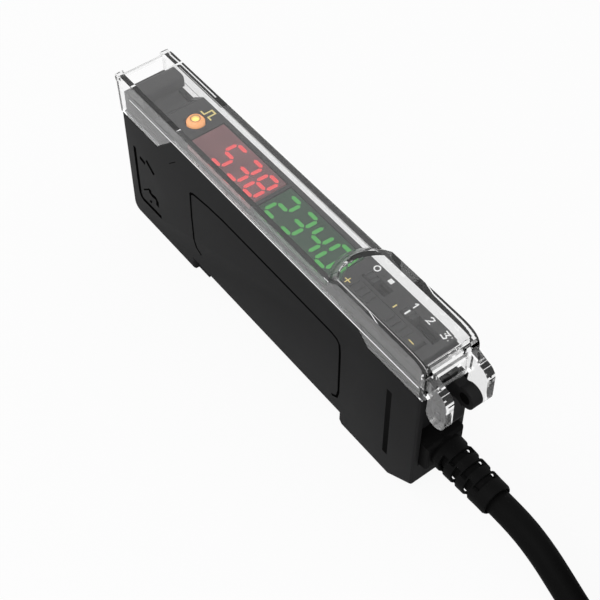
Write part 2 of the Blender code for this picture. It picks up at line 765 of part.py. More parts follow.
def board_part(name, x_span, z_span, height, look):
    """A chip on the marked side of the main board."""
    face = MAIN_BOARD_Y - GAP
    chip = box(name, x_span, (face - height, face), z_span)
    return finish(chip, look)


def optical_diode(name, height, radius, look):
    """A round emitter or receiver at the inner end of its fibre bore."""
    start = BLOCK_X[1] + 2 * GAP
    diode = turned(name, "X", (0, 0, height), [
        (start, radius * 0.75), (start + 0.4, radius), (start + 2.6, radius)], 20)
    smooth(diode)
    return finish(diode, look)


def receiver_shield(look):
    """The metal can round the receiver, open towards the fibre and the board."""
    start = BLOCK_X[1] + GAP
    wall = 0.3
    half = 1.1 + GAP + wall
    can = box("receiver_shield", (start + 0.05, start + 4.2), (-half, MAIN_BOARD_Y - GAP),
              (RECEIVER_Z - half, RECEIVER_Z + half))
    hollow = box("hollow", (start - 1, start + 4.2 - wall), (-half + wall, HALF),
                 (RECEIVER_Z - half + wall, RECEIVER_Z + half - wall))
    cut(can, hollow)
    return finish(can, look)


def fibre_block(look):
    """The block that guides both fibres, with the slot for the jaw and the lever pin's hole."""
    block = box("fibre_block", BLOCK_X, (-BLOCK_HALF, BLOCK_HALF), (CAVITY_FLOOR + GAP, BLOCK_TOP))
    for height in (EMITTER_Z, RECEIVER_Z):
        bore = rod("bore", "X", (0, 0, height), BORE_RADIUS, BLOCK_X[0] - 1, BLOCK_X[1] + 1, 20)
        cut(block, bore)
    slot = box("slot", (JAW_X[0] - GAP, JAW_X[1] + GAP), (-BLOCK_HALF - 1, BLOCK_HALF + 1),
               (RECEIVER_Z - 2.5 - GAP, BLOCK_TOP + 1))
    pin_hole = rod("pin_hole", "Y", (LEVER_X, 0, LEVER_Z), PIN_RADIUS + GAP,
                   -BLOCK_HALF - 1, BLOCK_HALF + 1, 20)
    cut(block, slot, pin_hole)
    smooth(block)
    return finish(block, look)


def clamp_jaw(look):
    """The sliding plate with an eye for each fibre, which pinches them in the block."""
    bottom = RECEIVER_Z - 2.5
    jaw = box("clamp_jaw", JAW_X, (-BLOCK_HALF + 0.05, BLOCK_HALF - 0.05), (bottom, BLOCK_TOP - GAP))
    for height in (EMITTER_Z, RECEIVER_Z):
        eye = rod("eye", "X", (0, 0, height), BORE_RADIUS, JAW_X[0] - 1, JAW_X[1] + 1, 20)
        cut(jaw, eye)
    smooth(jaw)
    set_origin(jaw, (sum(JAW_X) / 2, 0, BLOCK_TOP))
    return finish(jaw, look)


def port_seal(name, height, look):
    """The soft ring in one fibre port."""
    outer = PORT_RADIUS - GAP
    seal = rod(name, "X", (0, 0, height), outer, 0.25, WALL)
    hole = rod("hole", "X", (0, 0, height), BORE_RADIUS, -1, WALL + 1)
    cut(seal, hole)
    smooth(seal)
    return finish(seal, look)


def clamp_lever(look):
    """The fibre clamp lever: thumb ridge, dip, ramp up to the deck, and two cheeks to its pin."""
    ridge_round = 0.6
    front = 2.3
    ridge_bottom = CASE_TOP + 2 * GAP
    ridge = [(front + 0.9, ridge_bottom), (6.9, ridge_bottom)]
    ridge += [(6.95, RIDGE_TOP - 1.0)]
    ridge += arc((6.9 - ridge_round, RIDGE_TOP - ridge_round), ridge_round, 0, 90, 4)
    ridge += arc((front + 2.0, RIDGE_TOP - 1.1), 1.1, 90, 150, 4)
    ridge += [(front, RIDGE_TOP - 1.7), (front, ridge_bottom + 0.4)]
    lever = side_prism("clamp_lever", ridge, -NECK_HALF, NECK_HALF)

    core_front = 3.6
    core_bottom = 27.5
    blend = 0.9
    tail_end = DECK_START - 0.4
    core = [(core_front, core_bottom), (tail_end, core_bottom), (tail_end, DECK_TOP - 0.3),
            (CHEEK_START, DIP_Z)]
    core += arc((6.8 + blend, DIP_Z + blend), blend, 270, 180, 4)
    core += [(6.8, ridge_bottom + 1), (core_front, ridge_bottom + 1)]
    middle = side_prism("middle", core, -CHEEK_OUTER, CHEEK_OUTER)
    add(lever, middle)

    cheek_inner = BLOCK_HALF + GAP
    cheek = [(LEVER_X - 1.4, core_bottom + 0.5), (LEVER_X - 1.4, LEVER_Z)]
    cheek += arc((LEVER_X, LEVER_Z), 1.4, 180, 360, 8)[1:]
    cheek += [(LEVER_X + 1.4, LEVER_Z + 4), (LEVER_X + 3.0, core_bottom + 0.5)]
    for side in (-1, 1):
        span = sorted((side * cheek_inner, side * CHEEK_OUTER))
        leg = side_prism("leg", cheek, *span)
        add(lever, leg)
    hole = rod("hole", "Y", (LEVER_X, 0, LEVER_Z), PIN_RADIUS + GAP, -HALF, HALF, 20)
    cut(lever, hole)
    smooth(lever)
    set_origin(lever, (LEVER_X, 0, LEVER_Z))
    return finish(lever, look)


# Cable end

def cable_gland(look):
    """The moulded block in the case end with its slotted bend-relief boot, in one piece."""
    gland = box("cable_gland", (GLAND_START, GLAND_END), (-INNER_HALF + GAP, TUB_BACK), GLAND_Z)
    soften(gland, 0.5, 3, lambda a, b: a[0] > GLAND_END - 0.1 and b[0] > GLAND_END - 0.1)
    neck = 1.2
    root = BOOT_BORE + BOOT_ROOT_WALL
    tip = BOOT_BORE + BOOT_TIP_WALL
    boot = turned("boot", "X", (0, 0, CABLE_Z), [
        (GLAND_END - 1, root - BOOT_ROOT_WALL / 2), (GLAND_END, root - BOOT_ROOT_WALL / 2),
        (GLAND_END + neck / 2, root), (BOOT_END - 1.8, tip),
        (BOOT_END - 0.35, tip), (BOOT_END, tip - BOOT_TIP_WALL / 2)])
    first = GLAND_END + neck + 0.5
    shift = SLOT_PITCH / 2
    slot_floor = BOOT_BORE * 0.68
    slot_half = BOOT_BORE * 0.92
    for row in range(SLOT_ROWS):
        x = first + SLOT_PITCH * row
        for side in (-1, 1):
            flank = sorted((side * slot_floor, side * (root + 1)))
            side_slot = box("side_slot", (x, x + SLOT_WIDTH), flank,
                            (CABLE_Z - slot_half, CABLE_Z + slot_half))
            top_slot = box("top_slot", (x + shift, x + shift + SLOT_WIDTH), (-slot_half, slot_half),
                           (CABLE_Z + flank[0], CABLE_Z + flank[1]))
            cut(boot, side_slot, top_slot)
    add(gland, boot)
    bore = rod("bore", "X", (0, 0, CABLE_Z), BOOT_BORE, GLAND_START - 1, BOOT_END + 1)
    cut(gland, bore)
    smooth(gland)
    return finish(gland, look)


def cable_route():
    """Hand-chosen points of the cable: straight out of the boot, down to the floor, to the hank."""
    rest = CABLE_RADIUS + 0.1
    return [(GLAND_START + 0.7, 0, CABLE_Z), (84, 0, CABLE_Z), (BOOT_END, 0, CABLE_Z),
            (96.5, 0, CABLE_Z), (100, 0, 10.7), (104, 0, 9.3), (108, 0, 7.1), (112, 0, 4.8),
            (116, 0, rest + 0.7), (120.6, 0, rest)]


def round_ended(radius):
    """Plan outline of the hank at one radius: two straight runs joined by half rounds."""
    reach = HANK_STRAIGHT / 2
    outline = arc((HANK_X + reach, HANK_Y), radius, -90, 90, 16)
    return outline + arc((HANK_X - reach, HANK_Y), radius, 90, 270, 16)


def cable_hank(look):
    """The long ring that the folded length fills, flat on the floor just past the view."""
    lift = 0.1
    top = lift + TURN_PITCH * (HANK_LAYERS - 1) + 2 * CABLE_RADIUS
    ring = plan_prism("cable_hank", round_ended(HANK_OUTER_BEND + CABLE_RADIUS), lift, top)
    hole = plan_prism("hole", round_ended(HANK_INNER_BEND - CABLE_RADIUS), -1, top + 1)
    cut(ring, hole)
    smooth(ring)
    return finish(ring, look)


def flying_leads(looks):
    """The four stripped leads that fan out inside the hank from the cable's free end."""
    start_y = HANK_INNER_BEND - CABLE_RADIUS - LEAD_RADIUS - GAP
    floor = LEAD_RADIUS + 0.1
    for i, (name, look) in enumerate(looks):
        start = (-4.0 - 2.6 * i, start_y)
        end = (-25.0 - 0.8 * i, -7.0 + 4.0 * i)
        bend = (start[0] * 0.5 + end[0] * 0.5 + 1.5, start[1] * 0.4 + end[1] * 0.6)
        route = [(HANK_X + x, HANK_Y + y, floor) for x, y in (start, bend, end)]
        finish(tube(name, route, LEAD_RADIUS, 2), look)


def inner_wires(looks):
    """The four wires from the cable's end to the main board."""
    radius = 0.45
    reach = MAIN_BOARD_Y - GAP
    heights = (8.9, 10.3, 11.9, 13.3)
    bunch = (10.0, 10.95, 11.9, 12.85)
    for (name, look), height, start in zip(looks, heights, bunch):
        wire = tube(name, [(GLAND_START + 0.35, 0, start - 0.33), (GLAND_START - 2, 0, start - 0.25),
                           (GLAND_START - 4.5, -0.2, height), (GLAND_START - 6.5, 0.1, height),
                           (GLAND_START - 7.1, reach - 0.5, height),
                           (GLAND_START - 7.2, reach, height)], radius, 1)
        finish(wire, look)


def build():
    """Clears the scene and makes every sub-part."""
    for old in list(bpy.data.objects):
        bpy.data.objects.remove(old)
    black = principled("case_black", (0.028, 0.029, 0.031), 0.42)
    panel_black = principled("panel_black", (0.028, 0.029, 0.031), 0.42)
    deck_grey = principled("deck_black", (0.035, 0.036, 0.038), 0.4)
    clear = principled("clear_plastic", (0.93, 0.95, 0.96), 0.06, alpha=0.25)
    red_glass = principled("red_window", (0.42, 0.12, 0.13), 0.15, alpha=0.6)
    green_glass = principled("green_window", (0.13, 0.26, 0.17), 0.15, alpha=0.6)
    red_module = principled("red_display", (0.35, 0.03, 0.03), 0.4)
    green_module = principled("green_display", (0.03, 0.28, 0.1), 0.4)
    amber = principled("amber_lens", (0.95, 0.45, 0.16), 0.2)
    lamp = principled("lamp_white", (0.9, 0.86, 0.7), 0.4)
    board_green = principled("board_green", (0.04, 0.2, 0.09), 0.5)
    chip_black = principled("chip_black", (0.02, 0.02, 0.022), 0.5)
    steel = principled("steel", (0.6, 0.61, 0.63), 0.3, 1.0)
    white_plastic = principled("guide_white", (0.75, 0.75, 0.72), 0.5)
    soft_black = principled("soft_black", (0.01, 0.01, 0.011), 0.55)
    key_black = principled("key_black", (0.03, 0.03, 0.032), 0.45)
    cable_black = principled("cable_black", (0.008, 0.008, 0.009), 0.5)
    brown = principled("brown_wire", (0.16, 0.06, 0.025), 0.5)
    blue = principled("blue_wire", (0.02, 0.08, 0.4), 0.5)
    dark = principled("black_wire", (0.012, 0.012, 0.012), 0.5)
    white = principled("white_wire", (0.8, 0.8, 0.78), 0.5)

    case_shell(black)
    side_panel(panel_black)
    top_deck(deck_grey)
    clear_cover(clear)
    window_plate("red_window", RED_WINDOW, red_glass)
    window_plate("green_window", GREEN_WINDOW, green_glass)
    display_module("red_display", RED_WINDOW, red_module)
    display_module("green_display", GREEN_WINDOW, green_module)
    output_lens(amber)
    indicator_led(lamp)

    clamp_lever(key_black)
    finish(rod("lever_pin", "Y", (LEVER_X, 0, LEVER_Z), PIN_RADIUS, -CHEEK_OUTER - GAP,
               CHEEK_OUTER + GAP, 20), steel)
    clamp_jaw(white_plastic)
    fibre_block(chip_black)
    port_seal("emitter_port_seal", EMITTER_Z, soft_black)
    port_seal("receiver_port_seal", RECEIVER_Z, soft_black)
    optical_diode("emitter_led", EMITTER_Z, 1.35, lamp)
    optical_diode("receiver_photodiode", RECEIVER_Z, 1.1, chip_black)
    receiver_shield(steel)

    slide_knob("output_knob", OUTPUT_KNOB_X, key_black)
    slide_knob("mode_knob", MODE_KNOB_X, key_black)
    switch_body("output_switch_body", OUTPUT_KNOB_X, OUTPUT_TRAVEL, chip_black)
    switch_body("mode_switch_body", MODE_KNOB_X, MODE_TRAVEL, chip_black)
    set_rocker(key_black)
    rocker_carrier(key_black)
    middle = sum(ROCKER_X) / 2
    key_reach = 6.2
    key_switch("plus_key_switch", middle - key_reach, ROCKER_AXIS_Z - 0.5, steel)
    key_switch("minus_key_switch", middle + key_reach, ROCKER_AXIS_Z - 0.5, steel)
    key_switch("set_key_switch", middle, ROCKER_AXIS_Z - 2.4, steel)

    display_board(board_green)
    finish(box("main_board", MAIN_BOARD_X, (MAIN_BOARD_Y, MAIN_BOARD_Y + MAIN_BOARD_THICK),
               MAIN_BOARD_Z), board_green)
    finish(box("board_connector", (38, 54), (MAIN_BOARD_Y - 0.6, MAIN_BOARD_Y + 1.6),
               (MAIN_BOARD_Z[1] + GAP, DISPLAY_BOARD_Z - GAP)), white_plastic)
    board_part("processor", (34, 41), (10, 17), 1.2, chip_black)
    board_part("voltage_regulator", (58, 61.5), (7, 10.5), 1.3, chip_black)
    board_part("output_stage", (58, 62), (14, 18), 1.1, chip_black)
    capacitor = rod("smoothing_capacitor", "X", (0, MAIN_BOARD_Y - GAP - 2.0, 10), 2.0, 45, 52)
    smooth(capacitor)
    finish(capacitor, steel)

    cable_gland(soft_black)
    inner_wires((("wire_brown", brown), ("wire_blue", blue), ("wire_black", dark),
                 ("wire_white", white)))
    finish(tube("cable", cable_route(), CABLE_RADIUS, 3), cable_black)
    cable_hank(cable_black)
    flying_leads((("lead_brown", brown), ("lead_blue", blue), ("lead_black", dark),
                  ("lead_white", white)))


build()
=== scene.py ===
"""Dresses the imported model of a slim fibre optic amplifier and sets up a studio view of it.

Lengths that a user would change are in metres. The shape functions work in millimetres of the part's
own drawing: X runs from the fibre end of the case, Y from the middle of its width, Z from its feet.
"""

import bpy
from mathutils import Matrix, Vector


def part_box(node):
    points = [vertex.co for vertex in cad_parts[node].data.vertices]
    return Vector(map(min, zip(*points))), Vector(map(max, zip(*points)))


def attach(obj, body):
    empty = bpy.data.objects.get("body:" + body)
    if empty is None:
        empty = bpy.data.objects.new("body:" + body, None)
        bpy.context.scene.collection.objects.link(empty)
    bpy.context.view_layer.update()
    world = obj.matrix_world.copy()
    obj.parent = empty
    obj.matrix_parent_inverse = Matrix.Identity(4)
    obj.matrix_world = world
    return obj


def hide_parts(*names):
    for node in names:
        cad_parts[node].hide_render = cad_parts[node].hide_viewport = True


bl_info = {
    "name": "Fibre amplifier dresser",
    "version": (1, 0, 0),
    "blender": (4, 5, 0),
    "location": "3D View > Sidebar > Amplifier",
    "description": "Finishes the pieces of a slim fibre optic amplifier around its packed model",
    "category": "Object",
}

from math import cos, pi, radians, sin

import bmesh
import bpy
import numpy as np
from mathutils import Vector

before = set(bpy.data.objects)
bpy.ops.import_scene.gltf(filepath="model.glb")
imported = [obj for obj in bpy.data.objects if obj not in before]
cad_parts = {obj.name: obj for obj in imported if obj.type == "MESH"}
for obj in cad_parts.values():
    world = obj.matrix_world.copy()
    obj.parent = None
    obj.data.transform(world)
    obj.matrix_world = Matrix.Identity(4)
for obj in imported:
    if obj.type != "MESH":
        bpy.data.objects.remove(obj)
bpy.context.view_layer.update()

MM = 0.001

# Where the case starts in the frame, in metres
CASE_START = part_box("case_shell")[0].x

# Case, deck and hinge, in millimetres of the part's drawing
DECK_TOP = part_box("top_deck")[1].z / MM
HALF_WIDTH = 5.25
HINGE_X = 82.9
HINGE_Z = 25.3
EAR_INNER = 1.0
EAR_HOLE = 1.05
LED_X = 16.75
LED_Y = -0.55

# Rounded edges of the small pieces, in metres, and the angle from which an edge is sharp
SMALL_ROUND = 0.00012
KEY_ROUND = 0.0001
SHARP_ANGLE = radians(30)

# Cable and hank, in millimetres of the part's drawing
CABLE_Z = 11.1
CABLE_RADIUS = 2.2
CABLE_SIDES = 16
CABLE_REST = CABLE_RADIUS + 0.1
BOOT_END = 93.3
TURN_PITCH = 4.6
HANK_STRAIGHT = 45.0
HANK_BENDS = (17.8, 13.2)
HANK_LAYERS = 6
HANK_X = 156.0
HANK_Y = HANK_BENDS[0]
STRAIGHT_POINTS = 8
BEND_POINTS = 18
CORE_COLOURS = {"brown": (0.13, 0.05, 0.02), "blue": (0.02, 0.07, 0.35),
                "black": (0.012, 0.012, 0.012), "white": (0.75, 0.75, 0.73)}

# Studio: the camera's place in metres from the fibre end, the middle of the width and the floor
CAMERA_PLACE = (0.157078, -0.086321, 0.187284)


# Shape functions

def to_metres(points):
    """Millimetres of the part's drawing to metres of the frame: X is moved, all is scaled."""
    points = np.asarray(points, float)
    return points * MM + np.array([CASE_START, 0.0, 0.0])


def smooth_step(share):
    """0 up to a share of 0, 1 from a share of 1, and 3 share squared less 2 share cubed between."""
    share = np.clip(share, 0, 1)
    return share * share * (3 - 2 * share)


def smooth_path(knots, spacing):
    """Catmull-Rom curve: each stretch is the cubic that leaves a knot along the line of its neighbours."""
    knots = np.asarray(knots, float)
    padded = np.vstack([2 * knots[0] - knots[1], knots, 2 * knots[-1] - knots[-2]])
    pieces = []
    for i in range(1, len(padded) - 2):
        before, start, end, after = padded[i - 1:i + 3]
        steps = max(2, int(round(np.linalg.norm(end - start) / spacing)))
        t = np.linspace(0, 1, steps, endpoint=False)[:, None]
        pieces.append(0.5 * (2 * start + (end - before) * t
                             + (2 * before - 5 * start + 4 * end - after) * t ** 2
                             + (3 * start - before - 3 * end + after) * t ** 3))
    return np.vstack(pieces + [knots[-1:]])


def carried(path, profile, up=(0, 0, 1)):
    """A closed profile carried along a path: point (i, j) is path i plus profile j, its first
    coordinate along the side direction, which is tangent x up, and its second along side x tangent."""
    path = np.asarray(path, float)
    profile = np.asarray(profile, float)
    steps = np.diff(path, axis=0)
    steps /= np.linalg.norm(steps, axis=1)[:, None]
    tangent = np.vstack([steps[:1], steps[:-1] + steps[1:], steps[-1:]])
    tangent /= np.linalg.norm(tangent, axis=1)[:, None]
    joint_cos = np.ones(len(path))
    joint_cos[1:-1] = np.sum(tangent[1:-1] * steps[1:], axis=1)
    stretch = 1 / np.maximum(joint_cos, 0.5)
    side = np.cross(tangent, np.asarray(up, float))
    side /= np.linalg.norm(side, axis=1)[:, None]
    height = np.cross(side, tangent)
    points = (path[:, None, :] + (side * stretch[:, None])[:, None, :] * profile[None, :, :1]
              + height[:, None, :] * profile[None, :, 1:])
    return points.reshape(-1, 3), len(path), len(profile)


def grid_faces(rows, columns):
    """Quads of a grid whose columns close on themselves, with one cap face on each end row."""
    i, j = np.meshgrid(np.arange(rows - 1), np.arange(columns), indexing="ij")
    right = (j + 1) % columns
    quads = np.stack([i * columns + j, i * columns + right, (i + 1) * columns + right,
                      (i + 1) * columns + j], -1).reshape(-1, 4)
    first = np.arange(columns)[::-1]
    last = np.arange(columns) + (rows - 1) * columns
    return quads.tolist() + [first.tolist(), last.tolist()]


def circle(radius, sides):
    """Points at even angles round a circle, anticlockwise seen along the path."""
    angle = np.linspace(0, 2 * pi, sides, endpoint=False)
    return np.stack([-radius * np.cos(angle), radius * np.sin(angle)], 1)


def bar(width, height):
    """A flat bar: a rectangle of the given width whose lower edge lies on the path."""
    half = width / 2
    return np.array([(-half, 0.0), (-half, height), (half, height), (half, 0.0)])


def bead(width, height=0.05, sink=0.02):
    """A low half round: half an ellipse, across by half the width times the cosine and up by the
    height times the sine, sunk a little into the surface that the path lies on."""
    angle = np.linspace(pi, 0, 7)
    return np.stack([width / 2 * np.cos(angle), height * np.sin(angle) - sink], 1)


def join_shapes(shapes):
    """Puts several point and face lists into one, with each list's faces moved past the last."""
    points, faces, offset = [], [], 0
    for shape_points, shape_faces in shapes:
        points.append(np.asarray(shape_points, float))
        faces += [[corner + offset for corner in face] for face in shape_faces]
        offset += len(shape_points)
    return np.vstack(points), faces


def line_shape(path, profile, up=(0, 0, 1)):
    """Points and faces of a capped profile carried along a path."""
    points, rows, columns = carried(path, profile, up)
    return points, grid_faces(rows, columns)


def make_piece(name, shape, material, body, smooth=True):
    """Makes the mesh object of a shape in millimetres, and lets it ride on a body."""
    points, faces = shape
    mesh = bpy.data.meshes.new(name)
    mesh.from_pydata(to_metres(points).tolist(), [], faces)
    mesh.validate()
    shaped = bmesh.new()
    shaped.from_mesh(mesh)
    bmesh.ops.recalc_face_normals(shaped, faces=shaped.faces)
    shaped.to_mesh(mesh)
    shaped.free()
    if smooth:
        mesh.shade_smooth()
    mesh.materials.append(material)
    piece = bpy.data.objects.new(name, mesh)
    bpy.context.scene.collection.objects.link(piece)
    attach(piece, body)
    return piece


def merged_copy(node, name, material, body):
    """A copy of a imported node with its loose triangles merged, smooth except at its sharp edges."""
    same_place, flat_angle = 2e-6, radians(0.5)
    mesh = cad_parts[node].data.copy()
    mesh.name = name
    shaped = bmesh.new()
    shaped.from_mesh(mesh)
    bmesh.ops.remove_doubles(shaped, verts=shaped.verts, dist=same_place)
    bmesh.ops.dissolve_limit(shaped, angle_limit=flat_angle, verts=shaped.verts, edges=shaped.edges)
    shaped.to_mesh(mesh)
    shaped.free()
    mesh.materials.clear()
    mesh.materials.append(material)
    mesh.shade_smooth()
    mesh.set_sharp_from_angle(angle=SHARP_ANGLE)
    piece = bpy.data.objects.new(name, mesh)
    bpy.context.scene.collection.objects.link(piece)
    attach(piece, body)
    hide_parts(node)
    return piece


def rounded_copy(node, name, width, material, body):
    """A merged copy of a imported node, its sharp edges rounded by a bevel."""
    piece = merged_copy(node, name, material, body)
    bevel = piece.modifiers.new("rounded_edges", "BEVEL")
    bevel.width = width
    bevel.segments = 2
    bevel.limit_method = "ANGLE"
    bevel.angle_limit = SHARP_ANGLE
    bevel.use_clamp_overlap = True
    bevel.harden_normals = True
    return piece


# Materials

def shader_tree(name):
    """A new material with its nodes, its Principled shader and a helper that adds linked nodes."""
    material = bpy.data.materials.new(name)
    material.use_nodes = True
    tree = material.node_tree
    shader = tree.nodes["Principled BSDF"]

    def add(kind, inputs=(), **settings):
        node = tree.nodes.new(kind)
        for key, value in settings.items():
            setattr(node, key, value)
        for socket, value in dict(inputs).items():
            if isinstance(value, bpy.types.NodeSocket):
                tree.links.new(value, node.inputs[socket])
            else:
                node.inputs[socket].default_value = value
        return node

    return material, tree, shader, add


def shaded_between(add, tree, factor, dark, light):
    """A colour ramp from a dark to a light tone."""
    ramp = add("ShaderNodeValToRGB", {"Fac": factor})
    ramp.color_ramp.elements[0].position = 0.3
    ramp.color_ramp.elements[0].color = (*dark, 1)
    ramp.color_ramp.elements[1].position = 0.7
    ramp.color_ramp.elements[1].color = (*light, 1)
    return ramp.outputs["Color"]


def moulded_plastic(name, colour, roughness, grain=9000.0, depth=0.15, gloss=0.02):
    """Moulded plastic: fine spark-eroded grain in the bump, slow changes of tone and roughness."""
    material, tree, shader, add = shader_tree(name)
    place = add("ShaderNodeTexCoord").outputs["Object"]
    fine = add("ShaderNodeTexNoise", {"Vector": place, "Scale": grain, "Detail": 3.0}).outputs["Fac"]
    slow = add("ShaderNodeTexNoise", {"Vector": place, "Scale": 90.0, "Detail": 2.0}).outputs["Fac"]
    dark = tuple(c * 0.88 for c in colour)
    light = tuple(min(1.0, c * 1.12) for c in colour)
    tree.links.new(shaded_between(add, tree, slow, dark, light), shader.inputs["Base Color"])
    uneven = add("ShaderNodeMapRange", {"Value": slow, "From Min": 0.3, "From Max": 0.7,
                                        "To Min": roughness * 0.88, "To Max": roughness * 1.12})
    tree.links.new(uneven.outputs["Result"], shader.inputs["Roughness"])
    bump = add("ShaderNodeBump", {"Height": fine, "Strength": depth, "Distance": 0.00003})
    tree.links.new(bump.outputs["Normal"], shader.inputs["Normal"])
    shader.inputs["Specular IOR Level"].default_value = gloss
    return material


def plated_metal(name, colour, roughness):
    """Plated metal: brushed streaks along X in the bump and slow changes of roughness."""
    material, tree, shader, add = shader_tree(name)
    place = add("ShaderNodeTexCoord").outputs["Object"]
    drawn = add("ShaderNodeMapping", {"Vector": place, "Scale": (1.0, 30.0, 30.0)}).outputs["Vector"]
    streaks = add("ShaderNodeTexNoise", {"Vector": drawn, "Scale": 400.0}).outputs["Fac"]
    dark = tuple(c * 0.85 for c in colour)
    tree.links.new(shaded_between(add, tree, streaks, dark, colour), shader.inputs["Base Color"])
    uneven = add("ShaderNodeMapRange", {"Value": streaks, "To Min": roughness * 0.8,
                                        "To Max": roughness * 1.3})
    tree.links.new(uneven.outputs["Result"], shader.inputs["Roughness"])
    bump = add("ShaderNodeBump", {"Height": streaks, "Strength": 0.2, "Distance": 0.00002})
    tree.links.new(bump.outputs["Normal"], shader.inputs["Normal"])
    shader.inputs["Metallic"].default_value = 1.0
    return material


def clear_polycarbonate(name, tint):
    """Clear plastic with faint moulding waves. It lets lamp light through to what lies under it."""
    material, tree, shader, add = shader_tree(name)
    place = add("ShaderNodeTexCoord").outputs["Object"]
    waves = add("ShaderNodeTexNoise", {"Vector": place, "Scale": 60.0, "Detail": 1.0}).outputs["Fac"]
    bump = add("ShaderNodeBump", {"Height": waves, "Strength": 0.03, "Distance": 0.0001})
    tree.links.new(bump.outputs["Normal"], shader.inputs["Normal"])
    uneven = add("ShaderNodeMapRange", {"Value": waves, "To Min": 0.01, "To Max": 0.05})
    tree.links.new(uneven.outputs["Result"], shader.inputs["Roughness"])
    shader.inputs["Base Color"].default_value = (*tint, 1)
    shader.inputs["Transmission Weight"].default_value = 1.0
    shader.inputs["IOR"].default_value = 1.5
    through = add("ShaderNodeBsdfTransparent", {"Color": (0.93, 0.93, 0.93, 1)})
    rays = add("ShaderNodeLightPath")
    either = add("ShaderNodeMath", {0: rays.outputs["Is Shadow Ray"], 1: rays.outputs["Is Diffuse Ray"]},
                 operation="MAXIMUM")
    mixed = add("ShaderNodeMixShader", {0: either.outputs[0], 1: shader.outputs["BSDF"],
                                        2: through.outputs["BSDF"]})
    tree.links.new(mixed.outputs["Shader"], tree.nodes["Material Output"].inputs["Surface"])
    return material


def tinted_window(name, tint, glow):
    """Smoked acrylic over a lit display: a tint and a soft glow of the display's colour, uneven along it;
    the glow is the display's light painted onto the window.
    """
    material, tree, shader, add = shader_tree(name)
    place = add("ShaderNodeTexCoord").outputs["Object"]
    cloud = add("ShaderNodeTexNoise", {"Vector": place, "Scale": 160.0, "Detail": 1.0}).outputs["Fac"]
    dark = tuple(c * 0.8 for c in tint)
    tree.links.new(shaded_between(add, tree, cloud, dark, tint), shader.inputs["Base Color"])
    # Emission colour: the display's light, painted onto the window as a glow.
    shine = tuple(c * 0.7 for c in glow)
    tree.links.new(shaded_between(add, tree, cloud, shine, glow), shader.inputs["Emission Color"])
    shader.inputs["Emission Strength"].default_value = 1.0
    shader.inputs["Roughness"].default_value = 0.18
    shader.inputs["Specular IOR Level"].default_value = 0.15
    return material


def lit_colour(name, colour, strength, plain=0.08):
    """A lit or printed mark: even colour with a fine print grain, also given off as emission: the light of
    a lamp, or a painted glow on print and edges that are no lamp.
    """
    material, tree, shader, add = shader_tree(name)
    place = add("ShaderNodeTexCoord").outputs["Object"]
    grain = add("ShaderNodeTexNoise", {"Vector": place, "Scale": 2500.0, "Detail": 2.0}).outputs["Fac"]
    dark = tuple(c * (1 - plain) for c in colour)
    shade = shaded_between(add, tree, grain, dark, colour)
    tree.links.new(shade, shader.inputs["Base Color"])
    tree.links.new(shade, shader.inputs["Emission Color"])
    # Emission: real light for the lit digits and lamps, a painted glow for print and the cover's edge.
    shader.inputs["Emission Strength"].default_value = strength
    shader.inputs["Roughness"].default_value = 0.4
    return material


def amber_lens(name, ring, centre):
    """A lit lens by the distance from its axis: a bright middle, a dark line round it that is painted
    shade of its dimple ring, then amber.
    """
    material, tree, shader, add = shader_tree(name)
    lens_radius = 0.0016
    # Dark ring in the glow: painted shade of the lens's dimple ring.
    dimple_ring_painted_shade = (0.30, 0.11, 0.03)
    place = add("ShaderNodeTexCoord").outputs["Object"]
    middle = (-(CASE_START + LED_X * MM), -LED_Y * MM, 0.0)
    centred = add("ShaderNodeMapping", {"Vector": place, "Location": middle}).outputs["Vector"]
    flat = add("ShaderNodeVectorMath", {0: centred, 1: (1.0, 1.0, 0.0)}, operation="MULTIPLY")
    reach = add("ShaderNodeVectorMath", {0: flat.outputs["Vector"]}, operation="LENGTH")
    near = add("ShaderNodeMapRange", {"Value": reach.outputs["Value"], "From Max": lens_radius})
    ramp = add("ShaderNodeValToRGB", {"Fac": near.outputs["Result"]})
    stops = ramp.color_ramp.elements
    stops[0].position = 0.30
    stops[0].color = (*centre, 1)
    stops[1].position = 0.98
    stops[1].color = (*ring, 1)
    for position, colour in ((0.50, dimple_ring_painted_shade), (0.68, ring)):
        stops.new(position).color = (*colour, 1)
    tree.links.new(ramp.outputs["Color"], shader.inputs["Base Color"])
    tree.links.new(ramp.outputs["Color"], shader.inputs["Emission Color"])
    shader.inputs["Emission Strength"].default_value = 0.55
    shader.inputs["Roughness"].default_value = 0.12
    return material


def solder_mask(name, colour):
    """A circuit board: green mask with faint tracks under it."""
    material, tree, shader, add = shader_tree(name)
    place = add("ShaderNodeTexCoord").outputs["Object"]
    tracks = add("ShaderNodeTexBrick", {"Vector": place, "Scale": 260.0}).outputs["Fac"]
    dark = tuple(c * 0.7 for c in colour)
    light = tuple(c * 1.4 for c in colour)
    tree.links.new(shaded_between(add, tree, tracks, dark, light), shader.inputs["Base Color"])
    bump = add("ShaderNodeBump", {"Height": tracks, "Strength": 0.2, "Distance": 0.00003})
    tree.links.new(bump.outputs["Normal"], shader.inputs["Normal"])
    shader.inputs["Roughness"].default_value = 0.35
    return material


# Settings

class CaseSettings(bpy.types.PropertyGroup):
    """Sizes and colours of the black case."""
    colour: bpy.props.FloatVectorProperty(
        name="Case colour", description="Colour of the moulded case", subtype="COLOR",
        default=(0.021, 0.021, 0.0215), min=0, max=1)
    edge_round: bpy.props.FloatProperty(
        name="Edge round", description="Width of the rounded edges", default=0.00018,
        unit="LENGTH", subtype="DISTANCE")
    mark_width: bpy.props.FloatProperty(
        name="Moulded line width", description="Width of the lines on the side", default=0.001,
        unit="LENGTH", subtype="DISTANCE")


class CoverSettings(bpy.types.PropertyGroup):
    """Colour of the clear cover."""
    tint: bpy.props.FloatVectorProperty(
        name="Cover tint", description="Colour of the clear plastic", subtype="COLOR",
        default=(1.0, 1.0, 1.0), min=0, max=1)


